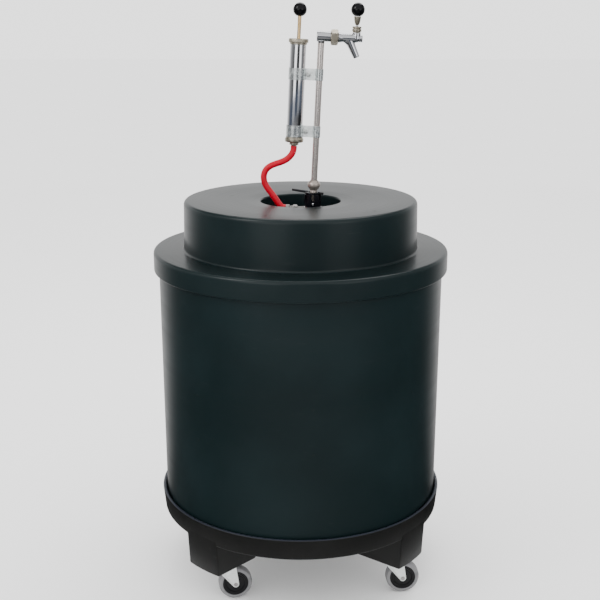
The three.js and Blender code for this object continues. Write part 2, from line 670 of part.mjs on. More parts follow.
function buildPump(tower) {
  const pump = subgroup(tower, [PUMP_X, 0, 0]);
  add('pump_cylinder', tube(PUMP_RADIUS, PUMP_BORE, PUMP_FOOT, PUMP_TOP, MID), CHROME, pump);
  add('pump_cap', ring([
    [PUMP_ROD_RADIUS + GAP, PUMP_TOP + GAP], [19, PUMP_TOP + GAP], [19, CAP_STEP], [21.5, CAP_STEP + 0.5],
    [21.5, PUMP_CAP_TOP - 1.5], [20.5, PUMP_CAP_TOP], [PUMP_ROD_RADIUS + GAP, PUMP_CAP_TOP],
  ], MID), NICKEL, pump);
  add('pump_base_cap', ring([
    [3, 99.4], [19.6, 99.4], [20.6, 101], [20.6, 110], [20, PUMP_FOOT - GAP], [3, PUMP_FOOT - GAP],
  ], MID), NICKEL, pump);
  add('pump_outlet', ring([
    [3, OUTLET_FOOT], [6.3, OUTLET_FOOT], [6.3, 93.5], [10.3, 94.2], [10.3, OUTLET_TOP], [3, OUTLET_TOP],
  ], SMALL), NICKEL, pump);
  add('pump_rod', rod(PUMP_ROD_RADIUS, PISTON_FOOT, PUMP_KNOB_HEIGHT - 5, 12), BRASS, pump);
  add('pump_piston', ring([
    [PUMP_ROD_RADIUS + GAP, PISTON_FOOT + 1], [14, PISTON_FOOT + 1], [15.6, PISTON_FOOT + 4],
    [15.6, PISTON_TOP], [PUMP_ROD_RADIUS + GAP, PISTON_TOP],
  ], MID), LEATHER, pump);
  const bore = { radius: PUMP_ROD_RADIUS + GAP, mouth: 6.3 };
  add('pump_knob', ball(KNOB_RADIUS, PUMP_KNOB_HEIGHT, bore, PUMP_KNOB_HEIGHT - 4.5, MID), BLACK, pump);
}

function buildTower() {
  const tower = subgroup(cooler, TOWER_FOOT, [0, TOWER_LEAN, 0]);
  add('union_nut', ring([
    [BEER_BORE, -31.5], [7.9, -31.5], [7.9, -6], [9.5, -3], [14.5, 4], [14.5, 9], [13, 13.5],
    [9, 16.5], [BEER_BORE, 16.5],
  ], SMALL), NICKEL, tower);
  const rodTop = SHANK_HEIGHT - SHANK_RADIUS - GAP;
  add('tap_rod', tube(ROD_RADIUS, BEER_BORE, ROD_FOOT, rodTop, MID), CHROME, tower);
  add('shank_tube', shankTube(), CHROME, tower);
  buildFaucet(tower);
  buildPump(tower);
  buildClamps(tower);
}

// ---- Air hose ---------------------------------------------------------------------------------

function buildHose() {
  const route = new THREE.CatmullRomCurve3(HOSE_ROUTE.map(([x, z]) => new THREE.Vector3(x, 0, z)));
  const section = circlePoints(0, 0, HOSE_RADIUS, 0, 360 - 360 / HOSE_SIDES, HOSE_SIDES - 1);
  const shape = new THREE.Shape(section.map(([x, y]) => new THREE.Vector2(x, y)));
  const hose = new THREE.ExtrudeGeometry(shape, { extrudePath: route, steps: HOSE_STEPS });
  add('air_hose', hose, RED_VINYL);
}

buildDolly();
buildBarrel();
buildLid();
buildKeg();
buildCoupler();
buildTower();
buildHose();

export default cooler;
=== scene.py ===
"""The looks of a mobile keg cooler with a hand pump and a tap tower.

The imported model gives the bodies, the joints and the sizes. This script builds the fine pieces
around it, gives each one its finish, and adds the studio and the camera. Sizes are in
millimetres unless a name says otherwise, and become metres where a mesh is made.
"""

from __future__ import annotations

import json
import logging
import math
from dataclasses import dataclass, field
from enum import Enum
from typing import Any, Callable, Iterable, Sequence, Union

import bmesh
import bpy
import numpy as np
from mathutils import Matrix, Vector


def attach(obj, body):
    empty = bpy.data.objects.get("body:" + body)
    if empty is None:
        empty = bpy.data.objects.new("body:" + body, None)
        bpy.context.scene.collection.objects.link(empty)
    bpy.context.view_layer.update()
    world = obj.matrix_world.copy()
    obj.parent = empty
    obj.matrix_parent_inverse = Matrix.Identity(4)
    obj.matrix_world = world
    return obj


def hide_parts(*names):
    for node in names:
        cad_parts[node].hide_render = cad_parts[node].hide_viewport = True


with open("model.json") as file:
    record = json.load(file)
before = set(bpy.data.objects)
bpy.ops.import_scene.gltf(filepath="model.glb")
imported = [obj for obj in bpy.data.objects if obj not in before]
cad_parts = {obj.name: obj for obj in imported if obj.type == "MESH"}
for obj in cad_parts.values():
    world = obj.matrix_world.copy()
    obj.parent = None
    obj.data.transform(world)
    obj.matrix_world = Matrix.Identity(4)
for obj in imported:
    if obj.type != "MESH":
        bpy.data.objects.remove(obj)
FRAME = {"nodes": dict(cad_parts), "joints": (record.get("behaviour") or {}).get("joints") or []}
LOG = logging.getLogger("keg_cooler")
MM = 0.001

Point = tuple[float, float]
Corner = tuple[float, float, float]
Loop = list[tuple[float, float, float]]
Value = Union["Socket", float]


# ---- Shader graphs ----------------------------------------------------------------------------


class Socket:
    """A number that flows through a shader graph, with arithmetic."""

    def __init__(self, graph: "Graph", link: bpy.types.NodeSocket) -> None:
        """Wraps one output socket of a graph."""
        self.graph = graph
        self.link = link

    def _math(self, operation: str, first: Value, second: Value) -> "Socket":
        """Adds one Math node."""
        return self.graph.node("ShaderNodeMath", {"operation": operation}, {0: first, 1: second})

    def __add__(self, other: Value) -> "Socket":
        """This plus other."""
        return self._math("ADD", self, other)

    def __radd__(self, other: Value) -> "Socket":
        """Other plus this."""
        return self._math("ADD", other, self)

    def __sub__(self, other: Value) -> "Socket":
        """This minus other."""
        return self._math("SUBTRACT", self, other)

    def __rsub__(self, other: Value) -> "Socket":
        """Other minus this."""
        return self._math("SUBTRACT", other, self)

    def __mul__(self, other: Value) -> "Socket":
        """This times other."""
        return self._math("MULTIPLY", self, other)

    def __rmul__(self, other: Value) -> "Socket":
        """Other times this."""
        return self._math("MULTIPLY", other, self)

    def __truediv__(self, other: Value) -> "Socket":
        """This over other."""
        return self._math("DIVIDE", self, other)

    def __rtruediv__(self, other: Value) -> "Socket":
        """Other over this."""
        return self._math("DIVIDE", other, self)

    def above(self, edge: float, soft: float) -> "Socket":
        """A mask that rises from 0 to 1 between edge and edge + soft.

        Args:
            edge: The value where the mask starts.
            soft: The width of the rise.

        Returns:
            The mask.
        """
        settings = {"interpolation_type": "SMOOTHSTEP"}
        inputs = {"Value": self, "From Min": edge, "From Max": edge + soft}
        return self.graph.node("ShaderNodeMapRange", settings, inputs)


class Graph:
    """A material's node graph with one Principled shader."""

    def __init__(self, name: str) -> None:
        """Starts an empty material of that name."""
        self.material = bpy.data.materials.new(name)
        self.material.use_nodes = True
        self.tree = self.material.node_tree
        self.tree.nodes.clear()
        self.shader = self.tree.nodes.new("ShaderNodeBsdfPrincipled")
        output = self.tree.nodes.new("ShaderNodeOutputMaterial")
        self.tree.links.new(self.shader.outputs[0], output.inputs["Surface"])

    def node(
        self,
        kind: str,
        settings: dict[str, Any],
        inputs: dict[str | int, Any],
        output: str | int = 0,
    ) -> Socket:
        """Adds any node.

        Args:
            kind: The node's type name.
            settings: Its own settings, and "stops" for a ramp's (position, grey) pairs.
            inputs: A value or a Socket for each input socket.
            output: The output socket to hand back.

        Returns:
            The output as a Socket.
        """
        made = self.tree.nodes.new(kind)
        for key, value in settings.items():
            if key == "stops":
                self._set_stops(made.color_ramp, value)
            else:
                setattr(made, key, value)
        for key, value in inputs.items():
            self.feed(made.inputs[key], value)
        return Socket(self, made.outputs[output])

    @staticmethod
    def _set_stops(ramp: bpy.types.ColorRamp, stops: Sequence[tuple[float, float]]) -> None:
        """Gives a ramp its grey stops."""
        while len(ramp.elements) < len(stops):
            ramp.elements.new(1.0)
        for element, (position, grey) in zip(ramp.elements, stops):
            element.position = position
            element.color = (grey, grey, grey, 1.0)

    def feed(self, socket: bpy.types.NodeSocket, value: Any) -> None:
        """Links a Socket to an input, or sets the input's own value."""
        if isinstance(value, Socket):
            self.tree.links.new(value.link, socket)
        else:
            socket.default_value = value

    def place(self, scale: Sequence[float] = (1, 1, 1)) -> Socket:
        """The piece's own coordinates in metres, stretched along each axis."""
        own = self.node("ShaderNodeTexCoord", {}, {}, "Object")
        return self.node("ShaderNodeMapping", {}, {"Vector": own, "Scale": tuple(scale)})

    def noise(self, vector: Socket, scale: float, detail: float = 3.0, rough: float = 0.5) -> Socket:
        """Fractal noise from 0 to 1."""
        inputs = {"Vector": vector, "Scale": scale, "Detail": detail, "Roughness": rough}
        return self.node("ShaderNodeTexNoise", {}, inputs)

    def cells(self, vector: Socket, scale: float, feature: str = "F1") -> Socket:
        """Distance in a field of cells."""
        return self.node("ShaderNodeTexVoronoi", {"feature": feature}, {"Vector": vector, "Scale": scale})

    def radius(self, vector: Socket) -> Socket:
        """Distance from the piece's own Z axis."""
        flat = self.node(
            "ShaderNodeVectorMath", {"operation": "MULTIPLY"}, {0: vector, 1: (1.0, 1.0, 0.0)}
        )
        return self.node("ShaderNodeVectorMath", {"operation": "LENGTH"}, {0: flat}, "Value")

    def blend(self, factor: Value, first: Any, second: Any) -> Socket:
        """A colour between two colours."""
        settings = {"data_type": "RGBA", "blend_type": "MIX"}
        return self.node("ShaderNodeMix", settings, {"Factor": factor, 6: first, 7: second}, 2)

    def bump(self, height: Value, depth: float, under: Socket | None = None) -> Socket:
        """A surface normal.

        Args:
            height: The relief, from 0 to 1.
            depth: How deep the relief is, in metres.
            under: A normal that this one lies on.

        Returns:
            The normal.
        """
        inputs: dict[str | int, Any] = {"Height": height, "Distance": depth, "Strength": 1.0}
        if under is not None:
            inputs["Normal"] = under
        return self.node("ShaderNodeBump", {}, inputs)

    def set(self, **sockets: Any) -> None:
        """Sets or links the shader's sockets: base_color feeds "Base Color"."""
        for key, value in sockets.items():
            name = key.replace("_", " ").title().replace("Ior", "IOR")
            if isinstance(value, tuple) and len(value) == 3 and "Color" in name:
                value = (*value, 1.0)
            self.feed(self.shader.inputs[name], value)


def colour(rgb: Sequence[float]) -> tuple[float, float, float, float]:
    """A linear colour with full alpha."""
    return (rgb[0], rgb[1], rgb[2], 1.0)


@dataclass(frozen=True)
class Finish:
    """What every finish has: a name, a record slot and a base colour."""

    name: str
    slot: str
    rgb: tuple[float, float, float]

    def dress(self, graph: Graph) -> None:
        """Fills the graph. Each kind of finish has its own."""
        graph.set(base_color=self.rgb)

    def make(self) -> bpy.types.Material:
        """Builds the material."""
        graph = Graph(self.name)
        self.dress(graph)
        graph.material.diffuse_color = colour(self.rgb)
        return graph.material


@dataclass(frozen=True)
class Moulding(Finish):
    """Rotationally moulded polyethylene: a waxy skin with orange peel, soft waves and fine scuffs."""

    shade: tuple[float, float, float] = (0.003, 0.009, 0.010)
    gloss: float = 0.30
    shine: float = 0.32
    peel: float = 0.00003
    wave: float = 0.0006
    rings: float = 0.0

    def dress(self, graph: Graph) -> None:
        """Clouded colour, gloss that varies round the turn, peel and waves."""
        here = graph.place()
        clouds = graph.noise(here, 4.0, 4.0)
        bands = graph.noise(graph.place((1.5, 1.5, 60.0)), 1.0, 4.0, 0.6)
        scuffs = graph.noise(graph.place((18.0, 18.0, 170.0)), 1.0, 3.0, 0.7).above(0.64, 0.10)
        dust = 1.0 - graph.cells(here, 230.0).above(0.06, 0.08)
        base = graph.blend(clouds.above(0.30, 0.40), colour(self.rgb), colour(self.shade))
        worn = graph.blend(scuffs * 0.035, base, (0.12, 0.13, 0.13, 1.0))
        dusty = graph.blend(dust * 0.04, worn, (0.20, 0.20, 0.20, 1.0))
        normal = graph.bump(graph.noise(here, 7.0, 1.0), self.wave)
        if self.rings:
            circles = graph.radius(here) * 420.0
            ripple = graph.node("ShaderNodeMath", {"operation": "SINE"}, {0: circles})
            normal = graph.bump(ripple * 0.5 + 0.5, self.rings, normal)
        normal = graph.bump(graph.noise(here, 520.0, 2.0), self.peel, normal)
        rough = self.gloss + (bands - 0.5) * 0.10 + scuffs * 0.06 + dust * 0.08
        graph.set(base_color=dusty, roughness=rough, normal=normal, ior=1.5)
        graph.set(specular_ior_level=self.shine)


@dataclass(frozen=True)
class Pebbled(Finish):
    """A moulding with a fine pebble grain and a matt face."""

    gloss: float = 0.5
    grain: float = 0.00012
    size: float = 420.0
    shine: float = 0.25
    # height in metres above which the lip gets a painted highlight colour and a lower roughness
    lip: float = 1.0

    def dress(self, graph: Graph) -> None:
        """Pebble grain with greyed high spots, and a painted bluish highlight along the lip, where the
        roughness also drops.
        """
        here = graph.place()
        pebbles = graph.cells(here, self.size, "SMOOTH_F1")
        clouds = graph.noise(here, 7.0, 5.0, 0.6)
        rub = graph.noise(graph.place((30.0, 30.0, 12.0)), 4.0, 3.0, 0.7).above(0.6, 0.15)
        light = tuple(1.8 * part + 0.001 for part in self.rgb)
        base = graph.blend(clouds.above(0.4, 0.4) * 0.5, colour(self.rgb), colour(light))
        rubbed = graph.blend(rub * 0.04, base, (0.13, 0.13, 0.13, 1.0))
        height = graph.node("ShaderNodeSeparateXYZ", {}, {"Vector": here}, "Z")
        # painted highlight: above the lip height the colour is blended toward a pale blue; the roughness is
        # lowered there too
        lip_highlight_and_gloss = height.above(self.lip, 0.0012)
        graph.set(
            base_color=graph.blend(lip_highlight_and_gloss * 0.6, rubbed, (0.028, 0.034, 0.05, 1.0)),
            roughness=self.gloss + (clouds - 0.5) * 0.2 - rub * 0.1 - lip_highlight_and_gloss * 0.2,
            normal=graph.bump(pebbles, self.grain),
            specular_ior_level=self.shine,
        )


@dataclass(frozen=True)
class Plated(Finish):
    """Bright plated metal with faint buffing lines, tarnish and finger marks."""

    gloss: float = 0.07
    tarnish: tuple[float, float, float] = (0.45, 0.42, 0.38)
    spots: float = 0.3
    lines: tuple[float, float, float] = (60.0, 60.0, 900.0)
    depth: float = 0.000012
    metal: float = 1.0

    def dress(self, graph: Graph) -> None:
        """Tarnish where handled, lines along the buffing."""
        here = graph.place()
        smears = graph.noise(here, 70.0, 4.0, 0.6).above(0.42, 0.3)
        pits = 1.0 - graph.cells(here, 900.0).above(0.10, 0.12)
        lines = graph.noise(graph.place(self.lines), 1.0, 2.0)
        toned = graph.blend(smears * self.spots, colour(self.rgb), colour(self.tarnish))
        graph.set(
            base_color=graph.blend(pits * self.spots * 0.5, toned, colour(self.tarnish)),
            metallic=self.metal,
            roughness=self.gloss + smears * 0.06 + lines * 0.05 + pits * 0.08,
            normal=graph.bump(lines, self.depth),
        )


@dataclass(frozen=True)
class Galvanised(Finish):
    """Zinc-plated pressed steel: cloudy grains of slightly different greys."""

    gloss: float = 0.34
    grain: float = 240.0
    metal: float = 0.80
    tab: tuple[float, float] = (1.0, 1.1)
    relief: float = 0.00003

    def dress(self, graph: Graph) -> None:
        """Grains, a milky bloom and rubbed patches."""
        here = graph.place()
        grains = graph.node(
            "ShaderNodeTexVoronoi", {"feature": "F1"}, {"Vector": here, "Scale": self.grain}, "Color"
        )
        spread = graph.node("ShaderNodeVectorMath", {"operation": "DOT_PRODUCT"},
                            {0: grains, 1: (0.4, 0.3, 0.3)}, "Value")
        bloom = graph.noise(here, 130.0, 4.0, 0.65).above(0.45, 0.25)
        dull = tuple(0.80 * part for part in self.rgb)
        base = graph.blend(spread, colour(self.rgb), colour(dull))
        along = graph.node("ShaderNodeSeparateXYZ", {}, {"Vector": here}, "X")
        start, end = self.tab
        flat = along.above(start, 0.0008) * (1.0 - along.above(end, 0.0008))
        milky = graph.blend(bloom * 0.35, base, (0.82, 0.85, 0.83, 1.0))
        graph.set(
            base_color=milky,
            metallic=self.metal - bloom * 0.2 - flat * 0.6,
            roughness=self.gloss + spread * 0.08 + bloom * 0.12 + flat * 0.1,
            normal=graph.bump(graph.noise(here, 700.0, 2.0), self.relief),
        )


@dataclass(frozen=True)
class Glossy(Finish):
    """A hard glossy plastic with a clear surface, such as a phenolic knob or a vinyl hose."""

    gloss: float = 0.12
    coat: float = 0.0
    shine: float = 0.3
    shade: tuple[float, float, float] = (0.0, 0.0, 0.0)
    relief: float = 0.00002
    scale: tuple[float, float, float] = (1.0, 1.0, 1.0)

    def dress(self, graph: Graph) -> None:
        """Slight clouding, hairline wear and handling dust."""
        here = graph.place()
        clouds = graph.noise(here, 60.0, 3.0)
        hairs = graph.noise(graph.place((900.0, 60.0, 200.0)), 1.0, 2.0).above(0.62, 0.08)
        dust = 1.0 - graph.cells(here, 700.0).above(0.07, 0.09)
        base = graph.blend(clouds.above(0.3, 0.5), colour(self.rgb), colour(self.shade))
        ripple = graph.noise(graph.place(self.scale), 150.0, 2.0)
        graph.set(
            base_color=graph.blend(dust * 0.04, base, (0.35, 0.34, 0.33, 1.0)),
            roughness=self.gloss + hairs * 0.10 + clouds * 0.05 + dust * 0.15,
            coat_weight=self.coat * (1.0 - hairs),
            normal=graph.bump(ripple, self.relief),
        )
        graph.set(coat_roughness=0.05, specular_ior_level=self.shine)


@dataclass(frozen=True)
class Rubber(Finish):
    """Grey wheel rubber with road dust and small nicks."""

    def dress(self, graph: Graph) -> None:
        """Dust, nicks and a fine tooth."""
        here = graph.place()
        dust = graph.noise(here, 45.0, 5.0, 0.7).above(0.42, 0.3)
        nicks = 1.0 - graph.cells(here, 210.0).above(0.06, 0.08)
        tooth = graph.noise(here, 900.0, 3.0)
        dirty = tuple(0.62 * part for part in self.rgb)
        base = graph.blend(dust * 0.7, colour(self.rgb), colour(dirty))
        marked = graph.blend(nicks * 0.7, base, (0.05, 0.05, 0.05, 1.0))
        normal = graph.bump(1.0 - nicks, 0.0002)
        graph.set(
            base_color=marked,
            roughness=0.52 + dust * 0.2,
            normal=graph.bump(tooth, 0.00005, normal),
        )


@dataclass(frozen=True)
class Drawn(Finish):
    """Stainless keg steel, brushed round its axis, with knocks and water marks."""

    gloss: float = 0.3

    def dress(self, graph: Graph) -> None:
        """Brush lines along the turn, marks and shallow dents."""
        here = graph.place()
        brush = graph.noise(graph.place((2.0, 2.0, 700.0)), 1.0, 3.0, 0.6)
        marks = graph.noise(here, 14.0, 5.0, 0.7).above(0.5, 0.25)
        dents = graph.noise(here, 11.0, 1.0)
        stained = tuple(0.7 * part for part in self.rgb)
        normal = graph.bump(dents, 0.002)
        graph.set(
            base_color=graph.blend(marks * 0.6, colour(self.rgb), colour(stained)),
            metallic=1.0,
            roughness=self.gloss + brush * 0.14 + marks * 0.12,
            normal=graph.bump(brush, 0.00004, normal),
        )


@dataclass(frozen=True)
class Porous(Finish):
    """Soft porous stuff: foam between the skins, or the pump's cup leather."""

    pore: float = 480.0
    depth: float = 0.0006

    def dress(self, graph: Graph) -> None:
        """Pores and tone."""
        here = graph.place()
        pores = graph.cells(here, self.pore, "SMOOTH_F1")
        tone = graph.noise(here, 12.0, 4.0)
        dark = tuple(0.6 * part for part in self.rgb)
        graph.set(
            base_color=graph.blend(pores * 0.8 + tone * 0.2, colour(dark), colour(self.rgb)),
            roughness=0.75 + pores * 0.2,
            normal=graph.bump(pores, self.depth),
        )


class Look(Enum):
    """The finishes of the cooler's pieces."""

    BARREL = Moulding("barrel_plastic", "moulded_plastic", (0.0050, 0.0125, 0.0140))
    LID = Moulding("lid_plastic", "moulded_plastic", (0.0060, 0.0125, 0.0135), rings=0.00006)
    LINER = Moulding("liner_plastic", "moulded_plastic", (0.006, 0.014, 0.013), gloss=0.42)
    # the tray's lip carries a painted bluish highlight above 0.2053 m
    TRAY = Pebbled("tray_plastic", "tray_plastic", (0.0040, 0.0042, 0.0038), lip=0.2053)
    WHEEL = Pebbled("wheel_plastic", "wheel_black", (0.002, 0.002, 0.003), gloss=0.40, grain=0.00005)
    NYLON = Pebbled("collar_nylon", "black_nylon", (0.003, 0.003, 0.005), gloss=0.30, grain=0.00004)
    CHROME = Plated("bright_chrome", "chrome", (0.82, 0.83, 0.86), spots=0.12)
    FITTING = Plated("satin_fitting", "chrome", (0.36, 0.35, 0.34), gloss=0.26, spots=0.30)
    ROD = Plated("rod_chrome", "chrome", (0.80, 0.73, 0.69), gloss=0.20, spots=0.10,
                 depth=0.0000006, metal=0.86)
    NICKEL = Plated("satin_nickel", "nickel", (0.55, 0.50, 0.40), gloss=0.34, spots=0.30)
    UNION = Plated("worn_nickel", "nickel", (0.52, 0.46, 0.41), gloss=0.30, spots=0.40,
                   metal=0.8)
    BRASS = Plated("bright_brass", "brass", (0.88, 0.62, 0.32), gloss=0.16, spots=0.25)
    ZINC = Galvanised("zinc_plate", "zinc", (0.86, 0.89, 0.87))
    STRAP = Galvanised("strap_zinc", "zinc", (0.76, 0.80, 0.80), gloss=0.22, metal=0.95,
                       tab=(-0.0305, -0.0088), relief=0.0000007)
    PHENOLIC = Glossy("black_phenolic", "black_phenolic", (0.002, 0.002, 0.003), gloss=0.09)
    VINYL = Glossy("red_vinyl", "red_vinyl", (0.44, 0.0005, 0.018), gloss=0.26, shine=0.2,
                   shade=(0.38, 0.0006, 0.009))
    TYRE = Rubber("wheel_rubber", "wheel_grey", (0.17, 0.17, 0.175))
    KEG = Drawn("keg_steel", "keg_steel", (0.62, 0.62, 0.60))
    FOAM = Porous("rigid_foam", "foam", (0.72, 0.62, 0.34))
    LEATHER = Porous("cup_leather", "cup_leather", (0.16, 0.08, 0.04), pore=900.0, depth=0.0001)


# ---- Mesh making ------------------------------------------------------------------------------


def rounded(corners: Sequence[Corner], closed: bool, steps: int = 5) -> list[Point]:
    """Rounds the corners of an outline.

    Args:
        corners: (x, y, radius) for each corner, a radius of 0 keeping it sharp.
        closed: Whether the outline joins its own start.
        steps: How many straight bits make a rounded corner.

    Returns:
        The outline's points.
    """
    points: list[Point] = []
    count = len(corners)
    for index, (x, y, radius) in enumerate(corners):
        inner = closed or 0 < index < count - 1
        if not radius or not inner:
            points.append((x, y))
            continue
        here = Vector((x, y))
        back = Vector(corners[index - 1][:2]) - here
        ahead = Vector(corners[(index + 1) % count][:2]) - here
        half = back.angle(ahead) / 2
        reach = min(radius / math.tan(half), 0.49 * back.length, 0.49 * ahead.length)
        start = here + back.normalized() * reach
        end = here + ahead.normalized() * reach
        for step in range(steps + 1):
            t = step / steps
            bend = start * (1 - t) ** 2 + here * (2 * t * (1 - t)) + end * t**2
            points.append((bend.x, bend.y))
    return points


def skin(loops: Sequence[Loop], closed: bool = False, capped: bool = True) -> bmesh.types.BMesh:
    """Stretches a skin over loops of equal length.

    Args:
        loops: The loops, each anticlockwise seen from the end that the list goes to.
        closed: Whether the last loop joins the first, as on a ring.
        capped: Whether an open skin's ends are filled.

    Returns:
        The mesh, in millimetres.
    """
    mesh = bmesh.new()
    rows = []
    for loop in loops:
        spread = max(math.dist(loop[0], point) for point in loop)
        if spread < 1e-6:
            rows.append([mesh.verts.new(loop[0])] * len(loop))
        else:
            rows.append([mesh.verts.new(point) for point in loop])
    pairs = list(zip(rows, rows[1:]))
    if closed:
        pairs.append((rows[-1], rows[0]))
    for low, high in pairs:
        for side in range(len(low)):
            following = (side + 1) % len(low)
            face = dict.fromkeys([low[side], low[following], high[following], high[side]])
            if len(face) > 2:
                mesh.faces.new(list(face))
    if capped and not closed:
        for row, flip in ((rows[0], True), (rows[-1], False)):
            if row[0] is not row[1]:
                mesh.faces.new(row[::-1] if flip else row)
    bmesh.ops.recalc_face_normals(mesh, faces=mesh.faces)
    return mesh


def revolve(profile: Sequence[Point], facets: int, closed: bool = False) -> bmesh.types.BMesh:
    """Turns a profile of (radius, height) points about Z."""
    angles = [2 * math.pi * step / facets for step in range(facets)]
    loops = [[(r * math.cos(a), r * math.sin(a), z) for a in angles] for r, z in profile]
    return skin(loops, closed)


def ring(corners: Sequence[Corner], facets: int = 64, steps: int = 4) -> bmesh.types.BMesh:
    """A turned ring, from the closed outline of its wall."""
    return revolve(rounded(corners, True, steps), facets, True)


def turned(corners: Sequence[Corner], facets: int = 64, steps: int = 4) -> bmesh.types.BMesh:
    """A turned solid whose outline starts and ends on the axis."""
    return revolve(rounded(corners, False, steps), facets)


def shaped(
    heights: Sequence[Point],
    outline: Callable[[float], float],
    facets: int,
    bore: float = 0.0,
) -> bmesh.types.BMesh:
    """A solid about Z whose section is not round.

    Args:
        heights: (height, largest radius) from the foot to the top.
        outline: The section's radius at an angle, before the largest radius cuts it.
        facets: Points round the section.
        bore: The radius of a round hole through it, or 0.

    Returns:
        The mesh, in millimetres.
    """
    angles = [2 * math.pi * step / facets for step in range(facets)]

    def loop(radius: Callable[[float], float], z: float) -> Loop:
        return [(radius(a) * math.cos(a), radius(a) * math.sin(a), z) for a in angles]

    loops = [loop(lambda a, m=most: min(outline(a), m), z) for z, most in heights]
    if bore:
        loops += [loop(lambda a: bore, heights[-1][0]), loop(lambda a: bore, heights[0][0])]
    return skin(loops, bool(bore))


def polygon(sides: int, across: float) -> Callable[[float], float]:
    """The outline of a polygon, from the distance across its corners."""

    def radius(angle: float) -> float:
        wedge = 2 * math.pi / sides
        return across / 2 * math.cos(wedge / 2) / math.cos((angle % wedge) - wedge / 2)

    return radius


def plate(outline: Sequence[Point], foot: float, top: float, edge: float = 0.0) -> bmesh.types.BMesh:
    """A flat outline in X and Y raised from foot to top, with its edges broken by a chamfer."""
    count = len(outline)
    centre = Vector((sum(p[0] for p in outline) / count, sum(p[1] for p in outline) / count))

    def loop(z: float, inset: float) -> Loop:
        moved = []
        for index, point in enumerate(outline):
            before = Vector(outline[index - 1])
            after = Vector(outline[(index + 1) % count])
            along = (after - before).normalized()
            normal = Vector((along.y, -along.x))
            if normal.dot(Vector(point) - centre) < 0 and _clockwise(outline):
                normal.negate()
            place = Vector(point) - normal * inset
            moved.append((place.x, place.y, z))
        return moved

    levels = [(foot, edge), (foot + edge, 0.0), (top - edge, 0.0), (top, edge)] if edge else [
        (foot, 0.0), (top, 0.0)]
    return skin([loop(z, inset) for z, inset in levels])


def _clockwise(outline: Sequence[Point]) -> bool:
    """Whether an outline runs clockwise, so that its normals have to be turned."""
    area = sum(a[0] * b[1] - b[0] * a[1] for a, b in zip(outline, [*outline[1:], outline[0]]))
    return area < 0


def arc(cx: float, cy: float, radius: float, start: float, end: float, steps: int) -> list[Point]:
    """Points on an arc, its angles in degrees."""
    angles = [math.radians(start + (end - start) * step / steps) for step in range(steps + 1)]
    return [(cx + radius * math.cos(a), cy + radius * math.sin(a)) for a in angles]


def rod_between(start: Sequence[float], end: Sequence[float], radii: Point, facets: int) -> bmesh.types.BMesh:
    """A round bar between two points, with its end radii and slightly rounded ends."""
    run = Vector(end) - Vector(start)
    low, high = radii
    lip = min(low, high) * 0.25
    corners = [(0, 0, 0), (low, 0, lip), (high, run.length, lip), (0, run.length, 0)]
    mesh = turned(corners, facets)
    turn = Vector((0, 0, 1)).rotation_difference(run.normalized()).to_matrix().to_4x4()
    return moved(mesh, Matrix.Translation(start) @ turn)


def moved(mesh: bmesh.types.BMesh, matrix: Matrix) -> bmesh.types.BMesh:
    """The same mesh, moved by a matrix."""
    bmesh.ops.transform(mesh, matrix=matrix, verts=mesh.verts)
    return mesh


def along_x(mesh: bmesh.types.BMesh) -> bmesh.types.BMesh:
    """Turns a mesh made about +Z so that its +Z points along +X."""
    return moved(mesh, Matrix.Rotation(math.radians(90), 4, "Y"))


def along_y(mesh: bmesh.types.BMesh) -> bmesh.types.BMesh:
    """Turns a mesh made about +Z so that its +Z points along -Y."""
    return moved(mesh, Matrix.Rotation(math.radians(90), 4, "X"))


def shifted(mesh: bmesh.types.BMesh, x: float = 0, y: float = 0, z: float = 0) -> bmesh.types.BMesh:
    """The same mesh, moved by a distance."""
    return moved(mesh, Matrix.Translation((x, y, z)))


def together(meshes: Iterable[bmesh.types.BMesh]) -> bmesh.types.BMesh:
    """Puts several meshes in one, as separate shells."""
    whole = bmesh.new()
    for part in meshes:
        carrier = bpy.data.meshes.new("carrier")
        part.to_mesh(carrier)
        part.free()
        whole.from_mesh(carrier)
        bpy.data.meshes.remove(carrier)
    return whole


